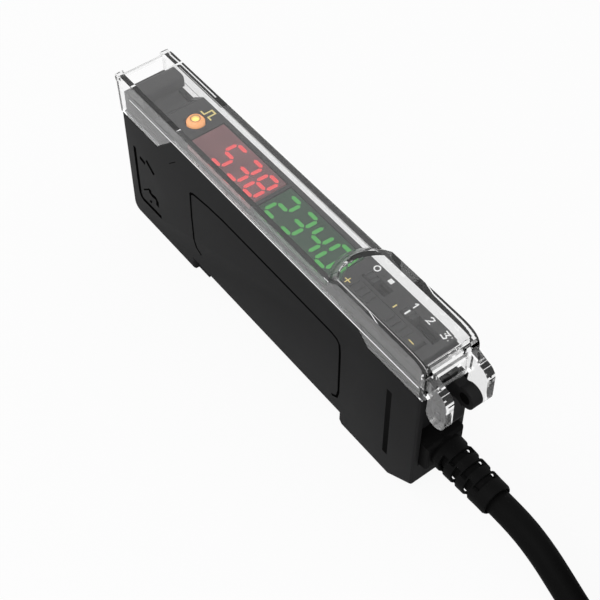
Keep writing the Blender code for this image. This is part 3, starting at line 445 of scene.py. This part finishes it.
class DeckSettings(bpy.types.PropertyGroup):
    """Colours of the deck, its displays and its printed marks."""
    colour: bpy.props.FloatVectorProperty(
        name="Deck colour", description="Colour of the deck", subtype="COLOR",
        default=(0.055, 0.055, 0.056), min=0, max=1)
    red: bpy.props.FloatVectorProperty(
        name="Red digits", description="Colour of the red digits", subtype="COLOR",
        default=(0.58, 0.06, 0.065), min=0, max=1)
    green: bpy.props.FloatVectorProperty(
        name="Green digits", description="Colour of the green digits", subtype="COLOR",
        default=(0.035, 0.24, 0.04), min=0, max=1)
    ink: bpy.props.FloatVectorProperty(
        name="Yellow ink", description="Colour of the yellow marks", subtype="COLOR",
        default=(0.72, 0.60, 0.22), min=0, max=1)


class CableSettings(bpy.types.PropertyGroup):
    """Sizes and colours of the cable."""
    diameter: bpy.props.FloatProperty(
        name="Cable diameter", description="Outer diameter of the jacket",
        default=2 * CABLE_RADIUS * MM, unit="LENGTH", subtype="DISTANCE")
    colour: bpy.props.FloatVectorProperty(
        name="Jacket colour", description="Colour of the cable's jacket", subtype="COLOR",
        default=(0.006, 0.006, 0.006), min=0, max=1)


class StudioSettings(bpy.types.PropertyGroup):
    """Camera and floor."""
    azimuth: bpy.props.FloatProperty(
        name="Azimuth", description="Turn of the camera round the object", default=radians(52.49),
        unit="ROTATION", subtype="ANGLE")
    elevation: bpy.props.FloatProperty(
        name="Elevation", description="Height angle of the camera", default=radians(51.13),
        unit="ROTATION", subtype="ANGLE")
    focal_length: bpy.props.FloatProperty(
        name="Focal length", description="Focal length of the camera in mm", default=80.448,
        unit="CAMERA")
    floor_colour: bpy.props.FloatVectorProperty(
        name="Floor colour", description="Colour of the floor", subtype="COLOR",
        default=(0.9, 0.9, 0.9), min=0, max=1)


# Operators

class AMP_OT_studio(bpy.types.Operator):
    """Makes the camera, the floor and the lights"""
    bl_idname = "amplifier.studio"
    bl_label = "Studio"

    def execute(self, context):
        settings = context.scene.amp_studio
        camera_data = bpy.data.cameras.new("studio_camera")
        camera_data.lens = settings.focal_length
        camera_data.sensor_width = 36.0
        camera = bpy.data.objects.new("studio_camera", camera_data)
        context.scene.collection.objects.link(camera)
        turn, lift = settings.azimuth, settings.elevation
        back = Vector((sin(turn) * cos(lift), -cos(turn) * cos(lift), sin(lift)))
        camera.location = Vector(CAMERA_PLACE) + Vector((CASE_START, 0, 0))
        camera.rotation_euler = back.to_track_quat("Z", "Y").to_euler()
        context.scene.camera = camera
        self.make_floor(context, settings)
        self.make_lights(context)
        context.scene.view_settings.view_transform = "Standard"
        return {"FINISHED"}

    def make_floor(self, context, settings):
        """A flat square under the object that looks white and keeps a soft shadow."""
        reach = 1.5
        white_share = 0.92
        mesh = bpy.data.meshes.new("studio_floor")
        corners = [(-reach, -reach, 0), (reach, -reach, 0), (reach, reach, 0), (-reach, reach, 0)]
        mesh.from_pydata(corners, [], [(0, 1, 2, 3)])
        floor = bpy.data.objects.new("studio_floor", mesh)
        context.scene.collection.objects.link(floor)
        material, tree, shader, add = shader_tree("studio_floor")
        shader.inputs["Base Color"].default_value = (*settings.floor_colour, 1)
        shader.inputs["Roughness"].default_value = 0.9
        shader.inputs["Specular IOR Level"].default_value = 0.0
        white = add("ShaderNodeEmission", {"Color": (1, 1, 1, 1), "Strength": 1.0})
        rays = add("ShaderNodeLightPath")
        seen = add("ShaderNodeMath", {0: rays.outputs["Is Camera Ray"],
                                      1: rays.outputs["Is Transmission Ray"]}, operation="MAXIMUM")
        share = add("ShaderNodeMath", {0: seen.outputs[0], 1: white_share}, operation="MULTIPLY")
        mixed = add("ShaderNodeMixShader", {0: share.outputs[0], 1: shader.outputs["BSDF"],
                                            2: white.outputs["Emission"]})
        tree.links.new(mixed.outputs["Shader"], tree.nodes["Material Output"].inputs["Surface"])
        mesh.materials.append(material)

    def make_lights(self, context):
        """A white surround for what is seen in it, a softer one for its light, and two soft lamps."""
        light_strength, seen_strength = 0.55, 1.0
        lamp_size = 0.5
        lamps = (("key_lamp", (0.25, -0.35, 0.55), 1.5), ("fill_lamp", (-0.5, -0.3, 0.4), 0.7))
        world = bpy.data.worlds.new("studio_world")
        context.scene.world = world
        world.use_nodes = True
        tree = world.node_tree
        tree.nodes.clear()
        surrounds = []
        for strength in (light_strength, seen_strength):
            surround = tree.nodes.new("ShaderNodeBackground")
            surround.inputs["Color"].default_value = (1, 1, 1, 1)
            surround.inputs["Strength"].default_value = strength
            surrounds.append(surround)
        rays = tree.nodes.new("ShaderNodeLightPath")
        seen = rays.outputs["Is Camera Ray"]
        for kind in ("Is Glossy Ray", "Is Transmission Ray"):
            larger = tree.nodes.new("ShaderNodeMath")
            larger.operation = "MAXIMUM"
            tree.links.new(seen, larger.inputs[0])
            tree.links.new(rays.outputs[kind], larger.inputs[1])
            seen = larger.outputs[0]
        mixed = tree.nodes.new("ShaderNodeMixShader")
        tree.links.new(seen, mixed.inputs[0])
        tree.links.new(surrounds[0].outputs[0], mixed.inputs[1])
        tree.links.new(surrounds[1].outputs[0], mixed.inputs[2])
        output = tree.nodes.new("ShaderNodeOutputWorld")
        tree.links.new(mixed.outputs[0], output.inputs["Surface"])
        for name, place, power in lamps:
            lamp_data = bpy.data.lights.new(name, "AREA")
            lamp_data.size = lamp_size
            lamp_data.energy = power
            lamp = bpy.data.objects.new(name, lamp_data)
            lamp.location = place
            lamp.rotation_euler = Vector(place).to_track_quat("Z", "Y").to_euler()
            context.scene.collection.objects.link(lamp)


class AMP_OT_cable(bpy.types.Operator):
    """Makes the cable from the boot to its hank, the ties, and the four leads at its free end"""
    bl_idname = "amplifier.cable"
    bl_label = "Cable and leads"

    def hank_turn(self, radius, level, step, flat, shift=0.0):
        """One turn of the hank: a straight, a half round, a straight and a half round, walked by its
        distance from the start. Its height holds one level for the flat length, then goes smoothly to
        the next; on the first straight its radius may come in smoothly by the shift."""
        bend = pi * radius
        starts = np.cumsum([0, HANK_STRAIGHT, bend, HANK_STRAIGHT])
        lengths = (HANK_STRAIGHT, bend, HANK_STRAIGHT, bend)
        counts = (STRAIGHT_POINTS, BEND_POINTS, STRAIGHT_POINTS, BEND_POINTS)
        far = np.concatenate([start + np.linspace(0, length, count, endpoint=False)
                              for start, length, count in zip(starts, lengths, counts)])
        half = HANK_STRAIGHT / 2
        right = (far - starts[1]) / radius
        left = (far - starts[3]) / radius
        stretches = [far < starts[1], far < starts[2], far < starts[3]]
        inward = 1 - smooth_step(far / HANK_STRAIGHT)
        x = np.select(stretches, [far - half, half + radius * np.sin(right), half - (far - starts[2])],
                      -half - radius * np.sin(left))
        y = np.select(stretches, [-radius - shift * inward, -radius * np.cos(right), radius + 0 * far],
                      radius * np.cos(left))
        climb = smooth_step((far - flat) / (sum(lengths) - flat))
        z = CABLE_REST + TURN_PITCH * (level + step * climb)
        return np.stack([HANK_X + x, HANK_Y + y, z], 1)

    def hank_turns(self):
        """The outer column of turns from the floor up, then the inner column down to the floor, and
        the last part of a turn, which ends at the middle of the far straight."""
        outer, inner = HANK_BENDS
        top = HANK_LAYERS - 1
        rest_of_turn = HANK_STRAIGHT * 1.5 + pi * inner
        runs = [self.hank_turn(outer, level, 1, HANK_STRAIGHT) for level in range(top)]
        for level in range(top, 0, -1):
            shift = outer - inner if level == top else 0.0
            runs.append(self.hank_turn(inner, level, -1, rest_of_turn, shift))
        last = self.hank_turn(inner, 0, 0, rest_of_turn)
        middle_of_far_straight = STRAIGHT_POINTS + BEND_POINTS + STRAIGHT_POINTS // 2
        return np.vstack(runs + [last[:middle_of_far_straight + 1]])

    def execute(self, context):
        settings = context.scene.amp_cable
        jacket = moulded_plastic("cable_jacket", settings.colour, 0.5, grain=5000.0, depth=0.25)
        round_jacket = circle(settings.diameter / MM / 2, CABLE_SIDES)
        run_out = [(BOOT_END, 0, CABLE_Z), (96.5, 0, CABLE_Z), (100, 0, 10.7), (104, 0, 9.3),
                   (108, 0, 7.1), (112, 0, 4.8), (116, 0, CABLE_REST + 0.7), (120.6, 0, CABLE_REST),
                   (126, 0, CABLE_REST), (131, 0, CABLE_REST)]
        route = np.vstack([smooth_path(run_out, spacing=1.5), self.hank_turns()])
        run = make_piece("cable_run", line_shape(route, round_jacket), jacket, "housing")
        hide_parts("cable", "cable_hank")
        inside = [(76.3, 0, CABLE_Z), (84, 0, CABLE_Z), (BOOT_END, 0, CABLE_Z)]
        held = make_piece("cable_in_boot", line_shape(smooth_path(inside, spacing=4), round_jacket),
                          jacket, "housing")
        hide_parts("cable")
        extras = self.make_leads(route[-1]) + self.make_ties()
        return {"FINISHED"}

    def tie_loop(self, middle, reach, top, corner):
        """The outer line of a strap: a rectangle about the middle in Y, from the floor to the top,
        whose corners are quarter circles."""
        quarter = np.linspace(0, pi / 2, 6)
        quarters = []
        for i, (y, z) in enumerate(((reach, top), (-reach, top), (-reach, 0.0), (reach, 0.0))):
            centre_y = middle + y - np.sign(y) * corner
            centre_z = z - corner if z else corner
            angle = quarter + i * pi / 2
            quarters.append(np.stack([HANK_X + 0 * angle, centre_y + corner * np.cos(angle),
                                      centre_z + corner * np.sin(angle)], 1))
        return np.vstack(quarters)

    def make_ties(self):
        """A thin strap round each of the two straight bundles: four lines, two outside and two
        drawn in by the strap's thickness, joined by quads."""
        strap = moulded_plastic("tie_strap", (0.012, 0.012, 0.013), 0.6, grain=3000.0, depth=0.4)
        slack, corner, thick = 0.15, 1.8, 0.2
        half_width = np.array([2.4, 0, 0])
        outer, inner = HANK_BENDS
        reach = (outer - inner) / 2 + CABLE_RADIUS + slack
        top = CABLE_REST + TURN_PITCH * (HANK_LAYERS - 1) + CABLE_RADIUS + slack
        ties = []
        for name, side in (("near_tie", -1), ("far_tie", 1)):
            loop = self.tie_loop(HANK_Y + side * (outer + inner) / 2, reach, top, corner)
            inward = loop.mean(axis=0) - loop
            inside = loop + inward / np.linalg.norm(inward, axis=1)[:, None] * thick
            rows = np.stack([loop - half_width, loop + half_width, inside + half_width,
                             inside - half_width], 1)
            lines = rows.shape[1]
            i, j = np.meshgrid(np.arange(len(loop)), np.arange(lines), indexing="ij")
            ahead, beside = (i + 1) % len(loop), (j + 1) % lines
            faces = np.stack([i * lines + j, i * lines + beside, ahead * lines + beside,
                              ahead * lines + j], -1)
            shape = (rows.reshape(-1, 3), faces.reshape(-1, 4).tolist())
            ties.append(make_piece(name, shape, strap, "housing", smooth=False))
        return ties

    def make_leads(self, end):
        """The four cores that leave the jacket and fan out on the floor inside the hank."""
        copper = plated_metal("bare_copper", (0.72, 0.38, 0.2), 0.3)
        offset = 0.75
        offsets = ((offset, offset), (-offset, offset), (offset, -offset), (-offset, -offset))
        lead_radius, bare_radius = 0.6, 0.36
        rest = lead_radius + 0.1
        bare_steps, steps_in_sleeve = 5, 2
        landing_y = HANK_BENDS[1] - CABLE_RADIUS - lead_radius - 0.3
        leads = []
        for i, ((word, colour), (across, up)) in enumerate(zip(CORE_COLOURS.items(), offsets)):
            insulation = moulded_plastic("insulation_" + word, colour, 0.4, grain=4000.0, depth=0.1)
            landing = (-4.0 - 2.6 * i, landing_y)
            tip = (-25.0 - 0.8 * i, -7.0 + 4.0 * i)
            bend = (landing[0] * 0.5 + tip[0] * 0.5 + 1.5, landing[1] * 0.4 + tip[1] * 0.6)
            knots = [(end[0] + 1.5, end[1] + across, end[2] + up),
                     (end[0] - 1.5, end[1] + across - 0.3, end[2] + up * 0.8)]
            knots += [(HANK_X + x, HANK_Y + y, rest) for x, y in (landing, bend, tip)]
            path = smooth_path(knots, spacing=0.8)
            sleeve = line_shape(path[:-bare_steps], circle(lead_radius, 10))
            bare = line_shape(path[-bare_steps - steps_in_sleeve:], circle(bare_radius, 8))
            lead = make_piece("lead_sleeve_" + word, join_shapes([sleeve, bare]), insulation,
                              "housing")
            lead.data.materials.append(copper)
            first_core = len(sleeve[1])
            choice = np.zeros(len(lead.data.polygons), dtype=np.int32)
            choice[first_core:] = 1
            lead.data.polygons.foreach_set("material_index", choice)
            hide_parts("lead_" + word)
            leads.append(lead)
        return leads


class AMP_OT_case(bpy.types.Operator):
    """Finishes the black case, its back wall, its boot and the moulded lines on its side"""
    bl_idname = "amplifier.case"
    bl_label = "Case"

    def execute(self, context):
        settings = context.scene.amp_case
        grain = moulded_plastic("case_grain", settings.colour, 0.42)
        rounded_copy("case_shell", "case_tub", settings.edge_round, grain, "housing")
        rounded_copy("side_panel", "case_back", settings.edge_round, grain, "housing")
        boot = moulded_plastic("boot_rubber", (0.006, 0.006, 0.006), 0.5, grain=6000.0, depth=0.3,
                               gloss=0.03)
        rounded_copy("cable_gland", "bend_relief_boot", SMALL_ROUND, boot, "housing")
        self.make_lines(settings)
        self.make_hole_shade_discs()
        return {"FINISHED"}

    def make_hole_shade_discs(self):
        """A thin near-black disc in each hinge hole, at the inner face of its ear: painted shade, so that
        the hole looks blind and dark.
        """
        thick = 0.25
        shade_discs = []
        for side in (-1, 1):
            ends = [(HINGE_X, side * y, HINGE_Z) for y in (EAR_INNER, EAR_INNER + thick)]
            shade_discs.append(line_shape(ends, circle(EAR_HOLE, 24)))
        # Near-black and matte: painted shade in the hinge holes.
        shade = moulded_plastic("painted_hole_shade", (0.006, 0.006, 0.006), 0.6, gloss=0.0)
        make_piece("hinge_hole_painted_shade", join_shapes(shade_discs), shade, "housing",
                   smooth=False)

    def make_lines(self, settings):
        """Moulded lines on the marked side: low beads along listed points in X and Z."""
        # Far darker than the case and matte: painted shade of the moulded lines, which are in the case's
        # own black plastic.
        dark = moulded_plastic("moulded_line_painted_shade", (0.002, 0.002, 0.002), 0.6, gloss=0.0)
        width = settings.mark_width / MM
        groove_width = 1.3
        panel = [(22.6, 6.4), (21.2, 7.2), (20.6, 8.8), (20.5, 14.7), (20.7, 20.5), (21.0, 21.0),
                 (21.8, 21.4), (26.0, 22.0), (30.2, 22.3), (45.0, 22.2), (59.4, 22.0), (60.8, 21.7),
                 (61.5, 20.9), (61.7, 19.0), (61.7, 8.4), (61.3, 6.6), (60.0, 5.8)]
        guide = [(2.9, 18.0), (2.83, 9.7), (2.9, 6.2), (3.2, 5.4), (3.8, 5.05), (9.7, 5.15)]
        short_stroke = [(4.4, 16.5), (6.0, 16.15)]
        long_stroke = [(6.6, 17.4), (8.8, 15.6)]
        hook_lead = [(4.4, 8.15), (6.4, 9.85)]
        hook = [(6.55, 10.0), (6.6, 9.2), (7.2, 8.95), (8.4, 9.1), (8.85, 8.7), (8.85, 7.4)]
        nick = [(6.3, 6.85), (6.7, 6.55)]
        faint = [(14.7, 23.2), (16.8, 25.2)]
        medium, thin, faintest = width * 0.58, width * 0.36, width * 0.16
        lines = []
        for points, wide in ((panel, medium), (guide, width), (short_stroke, width),
                             (long_stroke, width), (hook_lead, thin), (hook, width), (nick, width),
                             (faint, faintest)):
            path = [(x, -HALF_WIDTH, z) for x, z in points]
            lines.append(line_shape(path, bead(wide), up=(0, -1, 0)))
        make_piece("side_lines_painted_shade", join_shapes(lines), dark, "housing")
        groove = [(73.5, -HALF_WIDTH, 22.0), (73.6, -HALF_WIDTH, 5.2)]
        # Near-black and matte on a raised bead: painted shade of the groove near the cable end.
        shade = moulded_plastic("painted_groove_shade", (0.009, 0.009, 0.009), 0.6, gloss=0.0)
        make_piece("end_groove_painted_shade", line_shape(groove, bead(groove_width), up=(0, -1, 0)), shade,
                   "housing")


class AMP_OT_cover(bpy.types.Operator):
    """Finishes the clear hinged cover"""
    bl_idname = "amplifier.cover"
    bl_label = "Clear cover"

    def execute(self, context):
        settings = context.scene.amp_cover
        clear = clear_polycarbonate("clear_polycarbonate", settings.tint)
        lid = merged_copy("clear_cover", "clear_lid", clear, "cover")
        lid.data.shade_flat()
        self.make_painted_edge_highlights()
        return {"FINISHED"}

    def make_painted_edge_highlights(self):
        """A painted highlight along the foot of each long wall of the cover, standing in for the light
        that its edge collects: a low, pale, glowing bead from end to end."""
        # Pale glowing colour: a painted highlight of the cover's lit lower edge.
        bright = lit_colour("painted_edge_highlight", (0.9, 0.9, 0.9), 0.25)
        start_x, end_x, level, width = 3.4, 79.4, 29.45, 0.28
        lines = []
        for side in (-1, 1):
            ends = [(x, side * HALF_WIDTH, level) for x in (start_x, end_x)]
            lines.append(line_shape(ends, bead(width), up=(0, side, 0)))
        make_piece("cover_painted_edge_highlights", join_shapes(lines), bright, "cover")


class AMP_OT_deck(bpy.types.Operator):
    """Finishes the deck, its windows, the digits, the lens and the printed marks"""
    bl_idname = "amplifier.deck"
    bl_label = "Deck and displays"

    SEGMENTS = {"0": "abcdef", "2": "abdeg", "3": "abcdg", "4": "bcfg", "5": "acdfg", "8": "abcdefg"}
    INK_HEIGHT = 0.03

    def segment(self, place):
        """One bar of a digit: a flat hexagon with pointed ends, along X or turned along Y, its X
        moved by a share of its Y so that the digit leans."""
        half_long, half_thick, lean = 1.12, 0.35, 0.04
        half_x, half_y = 1.32, 1.3
        sink, height = 0.01, 0.05
        shoulder = half_long - half_thick
        outline = np.array([(-half_long, 0.0), (-shoulder, -half_thick), (shoulder, -half_thick),
                            (half_long, 0.0), (shoulder, half_thick), (-shoulder, half_thick)])
        places = {"a": (0, 2 * half_y, 0), "g": (0, 0, 0), "d": (0, -2 * half_y, 0),
                  "f": (-half_x, half_y, 1), "b": (half_x, half_y, 1),
                  "e": (-half_x, -half_y, 1), "c": (half_x, -half_y, 1)}
        x, y, upright = places[place]
        if upright:
            outline = outline[:, ::-1] * np.array([1.0, -1.0])
        flat = outline + np.array([x, y])
        flat[:, 0] += lean * flat[:, 1]
        low = np.column_stack([flat, np.full(len(flat), DECK_TOP - sink)])
        high = low + np.array([0, 0, height])
        return np.vstack([low, high]), grid_faces(2, len(flat))

    def digits(self, name, text, first_x, pitch, material, slot):
        """A row of seven-bar digits on a window."""
        middle_y = -0.8
        shapes = []
        for i, figure in enumerate(text):
            for place in self.SEGMENTS.get(figure, ""):
                points, faces = self.segment(place)
                shapes.append((points + np.array([first_x + pitch * i, middle_y, 0]), faces))
        return make_piece(name, join_shapes(shapes), material, "housing", smooth=False)

    def execute(self, context):
        settings = context.scene.amp_deck
        deck = moulded_plastic("deck_grain", settings.colour, 0.35)
        rounded_copy("top_deck", "deck_bezel", SMALL_ROUND, deck, "housing")
        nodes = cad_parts
        # The red and green windows glow with the colour of the displays under them: painted light.
        finishes = {"red_window": tinted_window("red_window_painted_glow", (0.06, 0.035, 0.04), (0.15, 0.066, 0.068)),
                    "green_window": tinted_window("green_window_painted_glow", (0.025, 0.04, 0.03),
                                                  (0.006, 0.030, 0.012)),
                    "output_lens": amber_lens("amber_lens", (0.85, 0.36, 0.12), (1.0, 0.72, 0.2))}
        for node, material in finishes.items():
            nodes[node].data.materials.clear()
            nodes[node].data.materials.append(material)
        red = lit_colour("lit_red", settings.red, 0.75)
        green = lit_colour("lit_green", settings.green, 0.75)
        self.digits("red_digits", " 538", 22.4, 4.32, red, "red_display")
        self.digits("green_digits", "2340", 41.2, 4.27, green, "green_display")
        self.make_marks(settings)
        return {"FINISHED"}

    def make_marks(self, settings):
        """Printed marks: flat strokes along listed points on the deck."""
        # The yellow and white ink glow faintly: a painted glow on print, which is no lamp.
        yellow = lit_colour("yellow_ink_painted_glow", settings.ink, 0.25)
        white = lit_colour("white_ink_painted_glow", (0.85, 0.85, 0.85), 0.25)
        key_top, knob_top = DECK_TOP + 0.9, DECK_TOP + 0.5
        pulse = [(15.3, 1.5), (16.3, 1.5), (16.3, 3.1), (17.3, 3.1), (17.3, 1.6), (18.2, 1.6)]
        plus_x = [(59.0, -2.5), (60.2, -2.5)]
        plus_y = [(59.6, -3.1), (59.6, -1.9)]
        minus = [(73.7, -2.5), (74.75, -2.5)]
        set_mark = [(67.2, 0.0), (67.2, 0.8)]
        printed = [self.stroke(pulse, width=0.28), self.stroke(set_mark, width=0.24)]
        make_piece("yellow_marks", join_shapes(printed), yellow, "housing",
                   smooth=False)
        on_key = [self.stroke(line, width=0.16, level=key_top) for line in (plus_x, plus_y, minus)]
        make_piece("rocker_marks", join_shapes(on_key), yellow, "key", smooth=False)
        ring_x, ring_y, ring_radius = 60.0, 3.0, 0.5
        ring = [(ring_x + ring_radius * cos(angle), ring_y + ring_radius * sin(angle))
                for angle in np.linspace(0, 2 * pi, 25)]
        dot = [(62.8, 3.0), (63.7, 3.0)]
        numerals = [
            [(68.75, 3.05), (69.15, 3.4)], [(69.15, 3.45), (69.15, 2.3)],
            [(72.1, 3.2), (72.4, 3.45), (72.9, 3.3), (72.8, 2.9), (72.1, 2.25), (73.0, 2.25)],
            [(75.3, 3.4), (76.0, 3.4), (75.6, 2.9), (76.0, 2.6), (75.8, 2.2), (75.2, 2.25)]]
        white_strokes = [self.stroke(line, width=0.22) for line in [ring] + numerals]
        white_strokes.append(self.stroke(dot, width=0.8))
        make_piece("white_marks", join_shapes(white_strokes), white, "housing",
                   smooth=False)
        tick = self.stroke([(69.5, 0.3), (69.5, 1.4)], width=0.3, level=knob_top)
        make_piece("knob_tick", tick, white, "mode_slider", smooth=False)

    def stroke(self, points, width, level=DECK_TOP):
        """A flat bar along points in X and Y, at a level."""
        return line_shape([(x, y, level) for x, y in points], bar(width, self.INK_HEIGHT))


class AMP_OT_controls(bpy.types.Operator):
    """Finishes the rocker, the slide knobs and the fibre clamp lever"""
    bl_idname = "amplifier.controls"
    bl_label = "Keys, knobs and lever"

    def execute(self, context):
        key = moulded_plastic("key_satin", (0.055, 0.055, 0.056), 0.38)
        for node, name, body in (("set_rocker", "rocker_key", "key"),
                                 ("output_knob", "output_slide_cap", "output_slider"),
                                 ("mode_knob", "mode_slide_cap", "mode_slider"),
                                 ("clamp_lever", "fibre_lever", "lever")):
            rounded_copy(node, name, KEY_ROUND, key, body)
        return {"FINISHED"}


class AMP_OT_inner(bpy.types.Operator):
    """Gives every piece inside the case its finish"""
    bl_idname = "amplifier.inner"
    bl_label = "Inner parts"

    def execute(self, context):
        steel = plated_metal("plated_steel", (0.6, 0.61, 0.63), 0.28)
        board = solder_mask("board_mask", (0.03, 0.16, 0.07))
        chip = moulded_plastic("chip_resin", (0.02, 0.02, 0.022), 0.45, grain=12000.0)
        guide = moulded_plastic("guide_resin", (0.72, 0.72, 0.69), 0.45)
        seal = moulded_plastic("seal_rubber", (0.01, 0.01, 0.011), 0.6, grain=5000.0, depth=0.3)
        lamp = lit_colour("lamp_resin", (0.9, 0.84, 0.66), 0.3)
        carrier = moulded_plastic("carrier_resin", (0.03, 0.03, 0.032), 0.45)
        red = moulded_plastic("red_module", (0.3, 0.03, 0.03), 0.4)
        green = moulded_plastic("green_module", (0.03, 0.24, 0.09), 0.4)
        looks = {
            "lever_pin": steel, "receiver_shield": steel, "plus_key_switch": steel,
            "minus_key_switch": steel, "set_key_switch": steel, "smoothing_capacitor": steel,
            "display_board": board, "main_board": board, "processor": chip,
            "voltage_regulator": chip, "output_stage": chip, "fibre_block": chip,
            "output_switch_body": chip, "mode_switch_body": chip, "receiver_photodiode": chip,
            "clamp_jaw": guide, "board_connector": guide, "emitter_port_seal": seal,
            "receiver_port_seal": seal, "emitter_led": lamp, "indicator_led": lamp,
            "rocker_carrier": carrier, "red_display": red, "green_display": green,
        }
        for word, colour in CORE_COLOURS.items():
            looks["wire_" + word] = moulded_plastic("core_" + word, colour, 0.4, grain=4000.0)
        for node, material in looks.items():
            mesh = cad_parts[node].data
            mesh.materials.clear()
            mesh.materials.append(material)
        return {"FINISHED"}


class AMP_PT_panel(bpy.types.Panel):
    """Lists the amplifier's pieces and their settings"""
    bl_idname = "AMP_PT_panel"
    bl_label = "Fibre amplifier"
    bl_space_type = "VIEW_3D"
    bl_region_type = "UI"
    bl_category = "Amplifier"

    def draw(self, context):
        for operator, group, names in (
                ("amplifier.studio", "amp_studio", ("azimuth", "elevation", "focal_length",
                                                    "floor_colour")),
                ("amplifier.cable", "amp_cable", ("diameter", "colour")),
                ("amplifier.case", "amp_case", ("colour", "edge_round", "mark_width")),
                ("amplifier.cover", "amp_cover", ("tint",)),
                ("amplifier.deck", "amp_deck", ("colour", "red", "green", "ink"))):
            box = self.layout.box()
            for name in names:
                box.prop(getattr(context.scene, group), name)
            box.operator(operator)
        self.layout.operator("amplifier.controls")
        self.layout.operator("amplifier.inner")


GROUPS = {"amp_case": CaseSettings, "amp_cover": CoverSettings, "amp_deck": DeckSettings,
          "amp_cable": CableSettings, "amp_studio": StudioSettings}
CLASSES = (AMP_OT_studio, AMP_OT_cable, AMP_OT_case, AMP_OT_cover, AMP_OT_deck, AMP_OT_controls,
           AMP_OT_inner, AMP_PT_panel)


def register():
    for name, group in GROUPS.items():
        bpy.utils.register_class(group)
        setattr(bpy.types.Scene, name, bpy.props.PointerProperty(type=group))
    for entry in CLASSES:
        bpy.utils.register_class(entry)


def unregister():
    for entry in reversed(CLASSES):
        bpy.utils.unregister_class(entry)
    for name, group in GROUPS.items():
        delattr(bpy.types.Scene, name)
        bpy.utils.unregister_class(group)


def main():
    register()
    bpy.ops.amplifier.studio()
    bpy.ops.amplifier.cable()
    bpy.ops.amplifier.case()
    bpy.ops.amplifier.cover()
    bpy.ops.amplifier.deck()
    bpy.ops.amplifier.controls()
    bpy.ops.amplifier.inner()


if __name__ == "__main__":
    main()
